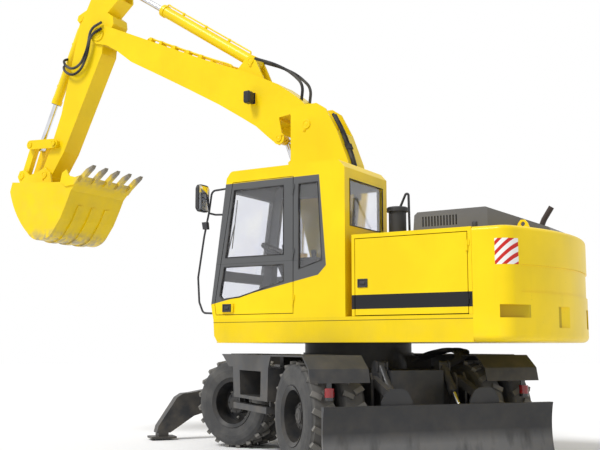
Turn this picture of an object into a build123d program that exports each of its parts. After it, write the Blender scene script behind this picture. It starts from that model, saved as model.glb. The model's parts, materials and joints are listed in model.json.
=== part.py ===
from build123d import *
import math
import os

# Wheeled excavator, in millimetres. The frame is that of the upper structure: the origin is on the
# ground under the slewing axis, +X is the working direction, +Y the cab side and +Z up. The
# undercarriage is modelled in its own frame, with its front along +X, and turned at the end.

os.makedirs("parts", exist_ok=True)

# Undercarriage
chassis_turn = -37.5
rear_axle_x = -1080
front_axle_x = 1560
tyre_radius = 527.5
tyre_width = 278
tread_width = 226
lug_height = 26
lug_count = 20
twin_outer_face = 1233
twin_spacing = 325
rim_radius = 262
rim_wall = 12
hub_radius = 130
hub_face = 881
kingpin_y = 620
steer_left = 35
steer_right = 30
frame_half_width = 295
frame_bottom = 480
frame_top = 960
frame_rear_x = -1380
frame_front_x = 2380
deck_z = 1110
deck_thickness = 16
deck_outer_y = 1250
deck_inner_y = 640
pin_play = 0.6
running_fit = 0.6
piston_length = 25
gland_length = 60
gland_step = 10
gland_plate = 15
barrel_bottom = 20
swing_z = 1235
ring_radius = 600
ring_inner_radius = 390

# Dozer blade, as pins in the plane of the chassis
blade_half_width = 1223
blade_top = 656
blade_bottom = 60
blade_back_x = -1835
blade_arm_y = 470
blade_pin_low = (-1360, 550)
blade_pin_high = (-1360, 870)
blade_reach = (-420, -150)
blade_arm_half = 32
blade_lug_gap = 46
blade_lug_plate = 18
blade_cylinder_base = (-1270, 1010)
blade_cylinder_rod = (-1640, 545)
blade_cylinder_y = 352

# Outriggers, as pins in the cross plane (y, z)
outrigger_x = 2510
outrigger_pin = (500, 620)
outrigger_rod_pin = (820, 570)
outrigger_base_pin = (146, 1040)
outrigger_foot = (1700, 120)

# Upper structure
half_width = 1240
tail_radius = 2500
counterweight_x = -1838
body_top = 2305
belt_z = 1490
deck_plate = 30
bulkhead_x = -579
panel = 40
pre_cleaner_place = (-800, 620)

# Hinges of the doors
hinge_out = 9
hinge_radius = 8
hinge_tab = 20
hinge_height = 50
side_hinge_x = -1797
side_hinge_z = (1580, 2080)
cab_hinge_x = 105
cab_hinge_z = (1620, 2100, 2780)

# Cab
cab_rear_x = -505
cab_inner_y = 262
cab_outer_y = half_width
cab_floor_z = 1490
cab_roof_z = 3095
cab_wall = 45
cab_front_x = 1150
pane = 8
pane_inset = 14
door_rear_x = 101
door_gap = 8

# Digging gear, as pins (x, z) in the plane of the boom
boom_foot = (300, 1750)
boom_joint = (560, 3800)
boom_nose = (3950, 5520)
arm_tip = (4900, 3620)
rocker_pin = (4710, 4050)
link_pin = (5180, 4080)
bucket_pin = (5350, 3650)
boom_cylinder_base = (860, 1420)
boom_cylinder_rod = (800, 3050)
adjust_base = (420, 2300)
adjust_rod = (955, 3680)
arm_cylinder_base = (1430, 4740)
arm_cylinder_rod = (3720, 6240)
bucket_cylinder_base = (4360, 5850)
boom_cylinder_y = 143
plate = 24
boss_height = 14
hose_radius = 18
lower_boom_y = 205
upper_boom_y = 175
arm_y = 145
tower_y = 215
bucket_half_width = 520
stub_gap = 50
tooth_count = 5


def cylinder(base, rod_end, reach, inside, bore, wall, rod, base_eye, base_half, base_pin, rod_eye,
             rod_half, rod_pin):
    """The named sizes of one hydraulic cylinder between two pins."""
    return dict(base=base, rod_end=rod_end, reach=reach, inside=inside, bore=bore, wall=wall, rod=rod,
                base_eye=base_eye, base_half=base_half, base_pin=base_pin, rod_eye=rod_eye,
                rod_half=rod_half, rod_pin=rod_pin)


boom_cylinder = cylinder(
    boom_cylinder_base, boom_cylinder_rod, reach=885, inside=765, bore=48, wall=14, rod=33,
    base_eye=70, base_half=34, base_pin=35, rod_eye=62, rod_half=30, rod_pin=30)
adjust_cylinder = cylinder(
    adjust_base, adjust_rod, reach=1200, inside=900, bore=52, wall=14, rod=37,
    base_eye=70, base_half=45, base_pin=34, rod_eye=60, rod_half=42, rod_pin=30)
arm_cylinder = cylinder(
    arm_cylinder_base, arm_cylinder_rod, reach=1790, inside=1250, bore=60, wall=14, rod=40,
    base_eye=80, base_half=76, base_pin=38, rod_eye=70, rod_half=44, rod_pin=34)
bucket_cylinder = cylinder(
    bucket_cylinder_base, link_pin, reach=1280, inside=900, bore=52, wall=14, rod=38,
    base_eye=68, base_half=68, base_pin=34, rod_eye=62, rod_half=42, rod_pin=30)
blade_cylinder = cylinder(
    blade_cylinder_base, blade_cylinder_rod, reach=330, inside=288, bore=30, wall=10, rod=22,
    base_eye=38, base_half=40, base_pin=24, rod_eye=35, rod_half=30, rod_pin=18)
outrigger_cylinder = cylinder(
    outrigger_base_pin, outrigger_rod_pin, reach=450, inside=395, bore=38, wall=10, rod=28,
    base_eye=40, base_half=40, base_pin=24, rod_eye=36, rod_half=40, rod_pin=20)


def upright(y):
    """The plane at y, seen from the right: local x is forward, local y is up."""
    return Plane.XZ.offset(-y)


def along(start, end, distance=0.0, y=0.0):
    """A plane across the line from pin start to pin end, at a distance from start."""
    length = math.dist(start, end)
    step = ((end[0] - start[0]) / length, (end[1] - start[1]) / length)
    place = (start[0] + step[0] * distance, y, start[1] + step[1] * distance)
    return Plane(origin=place, x_dir=(0, 1, 0), z_dir=(step[0], 0, step[1]))


def between(y_low, y_high, outline, mode=Mode.ADD):
    """Extrude an outline, given as a function that draws it, between two values of y."""
    with BuildSketch(upright(y_high)) as profile:
        outline()
    extrude(profile.sketch, amount=y_high - y_low, mode=mode)


def disc(pin, radius, y_low, y_high, mode=Mode.ADD):
    """A round boss, pin or bore across the machine, centred on a pin."""
    with BuildSketch(upright(y_high)) as profile:
        with Locations(pin):
            Circle(radius)
    extrude(profile.sketch, amount=y_high - y_low, mode=mode)


def round_bar(start, end, first, last, radius, y, mode=Mode.ADD):
    """A round bar or bore on the line between two pins, from first to last along it."""
    with BuildSketch(along(start, end, first, y)) as profile:
        Circle(radius)
    extrude(profile.sketch, amount=last - first, mode=mode)


def barrel(cylinder, y=0.0):
    """A cylinder barrel with its base eye, bored for the piston, with a gland at its mouth."""
    base, rod_end, reach, bore = cylinder["base"], cylinder["rod_end"], cylinder["reach"], cylinder["bore"]
    eye, half, outside = cylinder["base_eye"], cylinder["base_half"], bore + cylinder["wall"]
    disc(base, eye, y - half, y + half)
    round_bar(base, rod_end, eye * 0.7, reach, outside, y)
    round_bar(base, rod_end, reach - gland_length, reach, outside + gland_step, y)
    round_bar(base, rod_end, eye + barrel_bottom, reach - gland_plate, bore, y, Mode.SUBTRACT)
    round_bar(base, rod_end, reach - gland_plate, reach, cylinder["rod"] + running_fit, y, Mode.SUBTRACT)
    disc(base, cylinder["base_pin"] + running_fit, y - half, y + half, Mode.SUBTRACT)


def rod(cylinder, y=0.0):
    """A piston rod, from the piston in its barrel to the eye at its end."""
    base, rod_end, inside = cylinder["base"], cylinder["rod_end"], cylinder["inside"]
    eye, half = cylinder["rod_eye"], cylinder["rod_half"]
    round_bar(base, rod_end, inside, inside + piston_length, cylinder["bore"] - running_fit, y)
    round_bar(base, rod_end, inside, math.dist(base, rod_end) - eye * 0.6, cylinder["rod"], y)
    disc(rod_end, eye, y - half, y + half)
    disc(rod_end, cylinder["rod_pin"], y - half, y + half, Mode.SUBTRACT)


def tube(route, bends, radius):
    """A round tube along straight runs joined by tangent arcs."""
    with BuildLine() as path:
        FilletPolyline(*route, radius=bends)
    with BuildSketch(Plane(origin=path.line @ 0, z_dir=path.line % 0)) as profile:
        Circle(radius)
    sweep(profile.sketch, path=path.line)


def full_bends(route):
    """The largest radius that the two runs at each corner of a route leave room for."""
    points = [Vector(*point) for point in route]
    radii = []
    for before, corner, after in zip(points, points[1:], points[2:]):
        turn = math.radians((corner - before).get_angle(after - corner))
        shorter = min((corner - before).length, (after - corner).length)
        radii.append(0.45 * shorter / math.tan(turn / 2))
    print("bends", [round(radius) for radius in radii])
    return radii


def at_y(y, points):
    """Points (x, z) of the boom's plane, moved to the plane at y."""
    return [(x, y, z) for x, z in points]


def leaf(x, side, z, direction):
    """One hinge leaf on a side face, its tab towards -X or +X of the hinge's axis."""
    with BuildSketch(Plane.XY.offset(z)) as profile:
        with Locations((x, side * (half_width + hinge_out))):
            Circle(hinge_radius)
        with Locations((x + direction * hinge_tab / 2, side * (half_width + hinge_out / 2))):
            Rectangle(hinge_tab, hinge_out)
    extrude(profile.sketch, amount=hinge_height)


def leaves(x, side, heights, direction):
    """Hinge leaves at each height: those of the fixed panel stand on top of those of the door."""
    for z in heights:
        leaf(x, side, z + (hinge_height + running_fit if direction < 0 else 0), direction)


def save(name, part, turn=0.0):
    """Turn a finished piece about the slewing axis, label it and write it."""
    piece = part.rotate(Axis.Z, turn)
    piece.label = name
    export_step(piece, "parts/" + name + ".step")


# Undercarriage frame: the box beam with pedestal, blade brackets and outrigger box
with BuildPart() as chassis_frame:
    with BuildSketch(Plane.XY.offset(frame_bottom)):
        with Locations(((frame_rear_x + frame_front_x) / 2, 0)):
            Rectangle(frame_front_x - frame_rear_x, 2 * frame_half_width)
    extrude(amount=frame_top - frame_bottom)
    with BuildSketch(Plane.XY.offset(frame_top)):
        Circle(ring_radius + 20)
    extrude(amount=deck_z + 20 - frame_top)
    # Slewing ring bolted on the pedestal
    with BuildSketch(Plane.XY.offset(deck_z + 20)):
        Circle(ring_radius)
        Circle(ring_inner_radius, mode=Mode.SUBTRACT)
    extrude(amount=swing_z - running_fit - deck_z - 20)
    # Saddles over the axles
    for x_low, x_high, top in ((-1295, -865, 730), (1370, 1810, 665)):
        with BuildSketch(Plane.XY.offset(frame_bottom)):
            with Locations(((x_low + x_high) / 2, 0)):
                Rectangle(x_high - x_low, 2 * frame_half_width)
        extrude(amount=top - frame_bottom, mode=Mode.SUBTRACT)
    # Crossbeams that carry the decks
    with BuildSketch(Plane.XY.offset(frame_top - 60)):
        with Locations((-460, 0), (760, 0)):
            Rectangle(120, 2 * deck_inner_y)
    extrude(amount=deck_z - deck_thickness - frame_top + 60)
    # Brackets of the blade arms
    for side in (-1, 1):
        for y in (blade_arm_y - 50, blade_arm_y + 50):
            with BuildSketch(upright(side * y + 12)):
                with BuildLine():
                    Polyline((-1250, 490), (-1390, 490), (-1430, 560), (-1430, 880),
                             (-1390, 940), (-1250, 940), close=True)
                make_face()
            extrude(amount=24)
        disc(blade_pin_low, 30, side * blade_arm_y - 62, side * blade_arm_y + 62)
        disc(blade_pin_high, 30, side * blade_arm_y - 62, side * blade_arm_y + 62)
    for side in (-1, 1):
        with BuildSketch(Plane.XY.offset(500)):
            with Locations((-1275, side * 360)):
                Rectangle(50, 344)
        extrude(amount=380)
    # Lugs of the blade cylinders
    for side in (-1, 1):
        for inward in (-blade_lug_gap - blade_lug_plate, blade_lug_gap):
            low = side * blade_cylinder_y + inward
            between(low, low + blade_lug_plate, lambda: Polygon(
                (-1200, 870), (-1300, 870), (-1312, 960), (-1312, 1040), (-1290, 1055),
                (-1240, 1055), (-1200, 1000), align=None))
        disc(blade_cylinder_base, 24, side * blade_cylinder_y - blade_lug_gap,
             side * blade_cylinder_y + blade_lug_gap)
    # Outrigger box: two cross plates with the leg pins between them
    for x in (outrigger_x - 130, outrigger_x + 106):
        with BuildSketch(Plane.YZ.offset(x)):
            with BuildLine():
                Polyline((-590, 540), (-520, 480), (520, 480), (590, 540), (590, 700),
                         (240, 1100), (-240, 1100), (-590, 700), close=True)
            make_face()
        extrude(amount=24)
    with BuildSketch(Plane.XY.offset(480)):
        with Locations((outrigger_x, 0)):
            Rectangle(240, 560)
    extrude(amount=20)
    for side in (-1, 1):
        with BuildSketch(Plane.YZ.offset(outrigger_x - 130)):
            with Locations((side * outrigger_pin[0], outrigger_pin[1]),):
                Circle(32)
            with Locations((side * outrigger_base_pin[0], outrigger_base_pin[1]),):
                Circle(24)
        extrude(amount=260)
save("chassis_frame", chassis_frame.part, chassis_turn)


def deck(side):
    """A side deck with the rear fender bent down, the step box and the lower step."""
    inner, outer = side * deck_inner_y, side * deck_outer_y
    low_y, high_y = min(inner, outer), max(inner, outer)
    with BuildPart() as built:
        with BuildSketch(upright(high_y)):
            with BuildLine():
                Polyline((1170, deck_z), (-1440, deck_z), (-1600, 985), (-1632, 856),
                         (-1616, 856), (-1586, 976), (-1434, deck_z - deck_thickness),
                         (1160, deck_z - deck_thickness), close=True)
            make_face()
        extrude(amount=high_y - low_y)
        # Skirt along the outer edge
        with BuildSketch(upright(max(side * (deck_outer_y - 16), side * deck_outer_y))):
            with BuildLine():
                Polyline((1170, deck_z), (890, 970), (-480, 970), (-560, deck_z), close=True)
            make_face()
        extrude(amount=16)
        # Step box, open to the side
        with BuildSketch(upright(max(side * 830, side * deck_outer_y))):
            with BuildLine():
                Polyline((-480, 970), (735, 970), (690, 630), (-460, 630), close=True)
            make_face()
        extrude(amount=deck_outer_y - 830)
        with BuildSketch(upright(max(side * 860, side * (deck_outer_y + 20)))):
            with BuildLine():
                Polyline((-250, 935), (480, 935), (450, 665), (-240, 665), close=True)
            make_face()
        extrude(amount=deck_outer_y + 20 - 860, mode=Mode.SUBTRACT)
        # Lower step on two hangers
        with BuildSketch(upright(max(side * 1110, side * deck_outer_y))):
            with BuildLine():
                Polyline((-430, 570), (700, 570), (700, 505), (-430, 505), close=True)
            make_face()
        extrude(amount=deck_outer_y - 1110)
        with BuildSketch(upright(max(side * 1150, side * 1200))):
            with Locations((-400, 600), (640, 600)):
                Rectangle(40, 80)
        extrude(amount=50)
    return built.part


save("fender_left", deck(1), chassis_turn)
save("fender_right", deck(-1), chassis_turn)

with BuildPart() as tail_lamps:
    with BuildSketch(Plane.XY.offset(700)):
        with Locations((-1640, 1060), (-1640, -1060)):
            Circle(45)
    extrude(amount=110)
    with BuildSketch(Plane.XY.offset(760)):
        with Locations((-1624, 1060), (-1624, -1060)):
            Rectangle(16, 50)
    extrude(amount=96)
save("tail_lamps", tail_lamps.part, chassis_turn)

with BuildPart() as rear_axle:
    with BuildSketch(upright(hub_face)):
        with Locations((rear_axle_x, tyre_radius)):
            Circle(95)
    extrude(amount=2 * hub_face)
    with BuildSketch(upright(150)):
        with Locations((rear_axle_x, tyre_radius)):
            Circle(190)
    extrude(amount=300)
    # Pads under the frame
    with BuildSketch(Plane.XY.offset(tyre_radius)):
        with Locations((rear_axle_x, 230), (rear_axle_x, -230)):
            Rectangle(150, 110)
    extrude(amount=730 - tyre_radius)
    # Drive shaft to the front axle
    with BuildSketch(Plane.YZ.offset(rear_axle_x)):
        with Locations((0, 400),):
            Circle(45)
    extrude(amount=front_axle_x - rear_axle_x - 175)
save("rear_axle", rear_axle.part, chassis_turn)

with BuildPart() as front_axle:
    with BuildSketch(upright(540)):
        with Locations((front_axle_x, tyre_radius)):
            Circle(80)
    extrude(amount=1080)
    with BuildSketch(upright(150)):
        with Locations((front_axle_x, tyre_radius - 40)):
            Circle(170)
    extrude(amount=300)
    with BuildSketch(upright(280)):
        with Locations((front_axle_x + 190, tyre_radius)):
            Circle(45)
    extrude(amount=560)
    with BuildSketch(Plane.XY.offset(tyre_radius - 60)):
        with Locations((front_axle_x + 90, 0)):
            Rectangle(200, 140)
    extrude(amount=120)
    # Pivot block under the frame
    with BuildSketch(Plane.XY.offset(tyre_radius)):
        with Locations((front_axle_x, 0)):
            Rectangle(280, 130)
    extrude(amount=665 - tyre_radius)
    # Fork ends that hold the kingpins
    for side in (-1, 1):
        with BuildSketch(Plane.XY.offset(tyre_radius - 170)):
            with Locations((front_axle_x, side * (kingpin_y - 45))):
                Rectangle(110, 150)
        extrude(amount=50)
        with BuildSketch(Plane.XY.offset(tyre_radius + 120)):
            with Locations((front_axle_x, side * (kingpin_y - 45))):
                Rectangle(110, 150)
        extrude(amount=50)
        with BuildSketch(Plane.XY.offset(tyre_radius - 170)):
            with Locations((front_axle_x, side * (kingpin_y - 95))):
                Rectangle(110, 50)
        extrude(amount=340)
        with BuildSketch(Plane.XY.offset(tyre_radius - 165)):
            with Locations((front_axle_x, side * kingpin_y)):
                Circle(22)
        extrude(amount=330)
save("front_axle", front_axle.part, chassis_turn)

# Wheels, built about the origin with the axle along Y and the outer face at +Y
tyre_section = (
    # radius, offset from the middle of the tyre
    (rim_radius, 100),
    (300, 125),
    (390, 139),
    (450, 133),
    (486, tread_width / 2),
    (tyre_radius - lug_height, tread_width / 2 - 30),
)


def tyre(centre):
    """One tyre with its lugs, its middle at y = centre."""
    with BuildPart() as built:
        with BuildSketch(Plane.YZ):
            with BuildLine():
                upper = [(centre + offset, radius) for radius, offset in tyre_section]
                lower = [(centre - offset, radius) for radius, offset in reversed(tyre_section)]
                Polyline(*upper, *lower, close=True)
            make_face()
        revolve(axis=Axis.Y)
        for side in (-1, 1):
            start = Plane.XY.offset(tyre_radius - lug_height - 34)
            with BuildPart(mode=Mode.PRIVATE) as lug:
                with BuildSketch(start):
                    with Locations((side * 18, centre + side * 58)):
                        Rectangle(50, 108, rotation=side * -28)
                extrude(amount=lug_height + 34)
            turns = [(lap + 0.25 * side) * 360 / lug_count for lap in range(lug_count)]
            add([lug.part.rotate(Axis.Y, turn) for turn in turns])
    return built.part


def twin_tyres():
    middle = twin_outer_face - tyre_width / 2
    return [tyre(middle), tyre(middle - twin_spacing)]


def twin_rims():
    """Two dished rims on one hub, the discs bolted back to back between the tyres."""
    middle = twin_outer_face - tyre_width / 2
    between_tyres = middle - twin_spacing / 2
    with BuildPart() as built:
        for centre in (middle, middle - twin_spacing):
            with BuildSketch(Plane.YZ):
                with BuildLine():
                    Polyline((centre - 121, 292), (centre - 101, rim_radius - 1),
                             (centre + 101, rim_radius - 1), (centre + 121, 292),
                             (centre + 131, 292), (centre + 109, rim_radius - rim_wall),
                             (centre - 109, rim_radius - rim_wall), (centre - 131, 292), close=True)
                make_face()
            revolve(axis=Axis.Y)
        with BuildSketch(upright(between_tyres + 64)):
            with Locations((0, 0)):
                Circle(rim_radius - rim_wall + 2)
        extrude(amount=128)
        with BuildSketch(upright(between_tyres + 190)):
            Circle(hub_radius)
        extrude(amount=200)
        with BuildSketch(upright(hub_face + running_fit)):
            Circle(105)
        extrude(amount=200, mode=Mode.SUBTRACT)
    return built.part


wheel_tyres = twin_tyres()
wheel_rims = twin_rims()


def wheel_place(x, side, steer):
    """Where a wheel stands: moved out along the axle, then turned about its kingpin."""
    mirror_turn = 0 if side > 0 else 180
    kingpin = Pos(x, side * kingpin_y, tyre_radius) * Rot(0, 0, steer)
    return kingpin * Pos(0, -side * kingpin_y, 0) * Rot(0, 0, mirror_turn)


wheels = (
    # name, axle x, side, steering angle
    ("front_left", front_axle_x, 1, steer_left),
    ("front_right", front_axle_x, -1, steer_right),
    ("rear_left", rear_axle_x, 1, 0),
    ("rear_right", rear_axle_x, -1, 0),
)
for name, x, side, steer in wheels:
    place = wheel_place(x, side, steer)
    with BuildPart() as both_tyres:
        add([place * copied for copied in wheel_tyres])
    save("tyres_" + name, both_tyres.part, chassis_turn)
    save("rims_" + name, place * wheel_rims, chassis_turn)

with BuildPart() as knuckle:
    with BuildSketch(Plane.XY.offset(-110)):
        Circle(60)
        with Locations((0, 60)):
            Rectangle(90, 120)
    extrude(amount=220)
    with BuildSketch(upright(hub_face - kingpin_y)):
        Circle(85)
    extrude(amount=hub_face - kingpin_y - 110)
    with BuildSketch(upright(110)):
        Circle(70)
    extrude(amount=60)
    with BuildSketch(Plane.XY.offset(-120)):
        Circle(22 + running_fit)
    extrude(amount=240, mode=Mode.SUBTRACT)
for name, x, side, steer in wheels[:2]:
    stand = Pos(x, side * kingpin_y, tyre_radius) * Rot(0, 0, steer)
    save("knuckle_" + name, stand * Rot(0, 0, 0 if side > 0 else 180) * knuckle.part, chassis_turn)

# Dozer blade
blade_low = (blade_pin_low[0] + blade_reach[0], blade_pin_low[1] + blade_reach[1])
blade_high = (blade_pin_high[0] + blade_reach[0], blade_pin_high[1] + blade_reach[1])
blade_slope = math.degrees(math.atan2(blade_reach[1], blade_reach[0])) + 180
with BuildPart() as blade:
    with BuildSketch(upright(blade_half_width)):
        with BuildLine():
            Polyline((blade_back_x - 60, blade_top), (blade_back_x, blade_top),
                     (blade_back_x, 330), (blade_back_x - 70, blade_bottom),
                     (blade_back_x - 100, blade_bottom))
            ThreePointArc((blade_back_x - 100, blade_bottom), (blade_back_x - 32, 330),
                          (blade_back_x - 60, blade_top))
        make_face()
    extrude(amount=2 * blade_half_width)
    for side in (-1, 1):
        for y in (blade_arm_y - 50, blade_arm_y + 50):
            with BuildSketch(upright(side * y + 12)):
                with BuildLine():
                    Polyline((blade_back_x - 10, 300), (-1810, 300), (-1735, 360), (-1720, 440),
                             (-1720, 740), (-1760, 780), (-1800, 800), (blade_back_x - 10, 800),
                             close=True)
                make_face()
            extrude(amount=24)
        # Round-topped ear plate above the blade's edge
        with BuildSketch(Plane.YZ.offset(blade_back_x - 16)):
            with BuildLine():
                Polyline((side * blade_arm_y - 160, 560), (side * blade_arm_y - 160, 690),
                         (side * blade_arm_y - 110, 780), (side * blade_arm_y - 60, 805),
                         (side * blade_arm_y + 60, 805), (side * blade_arm_y + 110, 780),
                         (side * blade_arm_y + 160, 690), (side * blade_arm_y + 160, 560),
                         close=True)
            make_face()
        extrude(amount=20)
        for pin in (blade_low, blade_high):
            disc(pin, 28, side * blade_arm_y - 62, side * blade_arm_y + 62)
save("blade", blade.part, chassis_turn)


def blade_bar(side, start, height, pin_start, pin_end):
    """A flat bar between a chassis pin and a blade pin, bored at both ends."""
    middle = (start[0] + blade_reach[0] / 2, start[1] + blade_reach[1] / 2)
    high = side * blade_arm_y + blade_arm_half
    end = (start[0] + blade_reach[0], start[1] + blade_reach[1])
    with BuildSketch(upright(high)) as profile:
        with Locations(middle):
            SlotCenterToCenter(math.hypot(*blade_reach), height, rotation=blade_slope)
        with Locations(start):
            Circle(pin_start + pin_play, mode=Mode.SUBTRACT)
        with Locations(end):
            Circle(pin_end + pin_play, mode=Mode.SUBTRACT)
    extrude(profile.sketch, amount=2 * blade_arm_half)


with BuildPart() as blade_arms:
    for side in (-1, 1):
        blade_bar(side, blade_pin_low, 100, 30, 28)
        for inward in (-36 - blade_lug_plate, 36):
            low = side * blade_cylinder_y + inward
            between(low, low + blade_lug_plate, lambda: Polygon(
                (-1570, 450), (-1600, 570), (-1640, 590), (-1680, 570), (-1660, 450), align=None))
    disc((-1612, 460), 42, -blade_arm_y, blade_arm_y)
save("blade_arms", blade_arms.part, chassis_turn)

with BuildPart() as blade_links:
    for side in (-1, 1):
        blade_bar(side, blade_pin_high, 80, 30, 28)
save("blade_links", blade_links.part, chassis_turn)

with BuildPart() as blade_barrels:
    for side in (-1, 1):
        barrel(blade_cylinder, side * blade_cylinder_y)
save("blade_barrels", blade_barrels.part, chassis_turn)

with BuildPart() as blade_rods:
    for side in (-1, 1):
        rod(blade_cylinder, side * blade_cylinder_y)
save("blade_rods", blade_rods.part, chassis_turn)

# Outriggers, drawn with the cross direction along X, then turned to either side
leg_half = 95
leg_plate = 25
with BuildPart() as leg:
    with BuildSketch(upright(leg_half)):
        with BuildLine():
            Polyline((430, 560), (520, 525), (900, 400), (1250, 300), (1560, 95), (1740, 95),
                     (1720, 180), (1480, 540), (1400, 590), (1290, 600), (900, 670), (540, 712),
                     (440, 690), close=True)
        make_face()
        with Locations(outrigger_pin):
            Circle(95)
            Circle(32 + pin_play, mode=Mode.SUBTRACT)
    extrude(amount=2 * leg_half)
    # The pocket that takes the cylinder, open upwards
    with BuildSketch(upright(leg_half - leg_plate)):
        with BuildLine():
            Polyline((560, 800), (560, 690), (640, 620), (670, 505), (900, 425), (1060, 400),
                     (1100, 800), close=True)
        make_face()
    extrude(amount=2 * (leg_half - leg_plate), mode=Mode.SUBTRACT)
    for low, high in ((-leg_half, -46), (46, leg_half)):
        disc(outrigger_rod_pin, 20, low, high)
    with BuildSketch(Plane.XY.offset(22)):
        with Locations((1650, 0)):
            Rectangle(330, 260)
    extrude(amount=26)
    with BuildSketch(Plane.XY.offset(40)):
        with Locations((1650, 0)):
            Rectangle(130, 2 * leg_half)
    extrude(amount=70)
with BuildPart() as leg_barrel:
    barrel(outrigger_cylinder)
with BuildPart() as leg_rod:
    rod(outrigger_cylinder)
for name, turn in (("left", 90), ("right", -90)):
    stand = Pos(outrigger_x, 0, 0) * Rot(0, 0, turn)
    save("outrigger_leg_" + name, stand * leg.part, chassis_turn)
    save("outrigger_barrel_" + name, stand * leg_barrel.part, chassis_turn)
    save("outrigger_rod_" + name, stand * leg_rod.part, chassis_turn)

# Upper structure
with BuildPart() as upper_frame:
    with BuildSketch(Plane.XY.offset(swing_z)):
        with BuildLine():
            Polyline((counterweight_x, -half_width), (1050, -half_width), (1120, -1170),
                     (1120, 1170), (1050, half_width), (counterweight_x, half_width), close=True)
        make_face()
    extrude(amount=deck_plate)
    # Side sills under the cab and the doors
    for side in (-1, 1):
        low, high = sorted((side * (half_width - panel), side * half_width))
        between(low, high, lambda: Polygon(
            (counterweight_x, swing_z), (1020, swing_z), (1070, 1255), (1105, 1310), (1118, belt_z),
            (counterweight_x, belt_z), align=None))
    # Towers that carry the boom foot and the boom cylinders
    for side in (-1, 1):
        with BuildSketch(upright(max(side * tower_y, side * (tower_y + 30)))):
            with BuildLine():
                Polyline((-575, 1260), (-575, 1440), (-250, 1620), (130, 1850), (300, 1900), (450, 1840),
                         (1000, 1500), (1060, 1260), close=True)
            make_face()
        extrude(amount=30)
    disc(boom_foot, 50, -tower_y, tower_y)
    disc(boom_cylinder_base, 35, -tower_y, tower_y)
save("upper_frame", upper_frame.part)

lifting_lug = (-2190, 780)
lifting_lug_half = 12
with BuildPart() as counterweight:
    with BuildSketch(Plane.XY.offset(swing_z)):
        Circle(tail_radius)
        with Locations((counterweight_x - 500, 0)):
            Rectangle(1000, 2 * half_width, mode=Mode.INTERSECT)
        rear = vertices().group_by(Axis.X)[0]
        fillet(rear, min(180, (tail_radius + counterweight_x) / 4))
    extrude(amount=body_top - swing_z)
    fillet(edges().filter_by(Plane.XY).group_by(Axis.Z)[-1].filter_by(GeomType.LINE, reverse=True), 45)
    fillet(edges().filter_by(Plane.XY).group_by(Axis.Z)[0].filter_by(GeomType.LINE, reverse=True), 60)
    # Shallow field across the rear
    with BuildSketch(Plane.XY.offset(1690)):
        Circle(tail_radius + 40)
        Circle(tail_radius - 12, mode=Mode.SUBTRACT)
        with Locations((-tail_radius, 0)):
            Rectangle(700, 2160, mode=Mode.INTERSECT)
    extrude(amount=255, mode=Mode.SUBTRACT)
    # Wedge-shaped pockets for slings and jacks
    for side in (-1, 1):
        for low, high, corners in (
            (1455, 1575, ((-2420, 890), (-2200, 1330), (-2050, 1200))),
            (1370, 1570, ((-2560, 570), (-2385, 545), (-2560, 130))),
        ):
            with BuildSketch(Plane.XY.offset(low)):
                Polygon(*[(x, side * y) for x, y in corners], align=None)
            extrude(amount=high - low, mode=Mode.SUBTRACT)
    # Lifting lugs on top
    for side in (-1, 1):
        y = side * lifting_lug[1]
        between(y - lifting_lug_half, y + lifting_lug_half, lambda: Polygon(
            (-2260, body_top - 2), (-2235, body_top + 60), (-2210, body_top + 90),
            (-2170, body_top + 90), (-2145, body_top + 60), (-2120, body_top - 2), align=None))
        disc((lifting_lug[0], body_top + 50), 22, y - lifting_lug_half, y + lifting_lug_half,
             Mode.SUBTRACT)
save("counterweight", counterweight.part)

with BuildPart() as body_panels:
    with BuildSketch(Plane.XY.offset(swing_z + deck_plate)):
        with Locations(((counterweight_x + bulkhead_x) / 2 + 1, 0)):
            Rectangle(bulkhead_x - counterweight_x - 2, 2 * half_width)
    extrude(amount=body_top - swing_z - deck_plate)
    with BuildSketch(Plane.XY.offset(swing_z + deck_plate)):
        with Locations(((counterweight_x + bulkhead_x) / 2, 0)):
            Rectangle(bulkhead_x - counterweight_x - 2 * panel, 2 * (half_width - panel))
    extrude(amount=body_top - swing_z - deck_plate - panel, mode=Mode.SUBTRACT)
    with BuildSketch(Plane.XY.offset(swing_z + deck_plate)):
        for side in (-1, 1):
            with Locations(((counterweight_x + bulkhead_x) / 2, side * half_width)):
                Rectangle(bulkhead_x - counterweight_x + 10, 2 * panel)
    extrude(amount=belt_z - swing_z - deck_plate + 2, mode=Mode.SUBTRACT)
    with BuildSketch(upright(half_width + 10)):
        with BuildLine():
            Polyline((-1800, 1450), (-610, 1450), (-610, 2265), (-1800, 2265), close=True)
        make_face()
    extrude(amount=2 * half_width + 20, mode=Mode.SUBTRACT)
    with BuildSketch(Plane.XY.offset(body_top - 2 * panel)):
        with Locations((-1400, 0)):
            Rectangle(700, 1400)
    extrude(amount=3 * panel, mode=Mode.SUBTRACT)
    for side in (-1, 1):
        leaves(side_hinge_x, side, side_hinge_z, -1)
save("body_panels", body_panels.part)

for name, side in (("side_door_left", 1), ("side_door_right", -1)):
    with BuildPart() as side_door:
        with BuildSketch(upright(max(side * half_width, side * (half_width - panel)))):
            with BuildLine():
                Polyline((-1792, 1500), (-618, 1500), (-618, 2257), (-1792, 2257), close=True)
            make_face()
        extrude(amount=panel)
        leaves(side_hinge_x, side, side_hinge_z, 1)
    save(name, side_door.part)

hood_half_width = 900
hood_wall = 30
hood_hinge = (-1092, body_top + 12)


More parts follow.
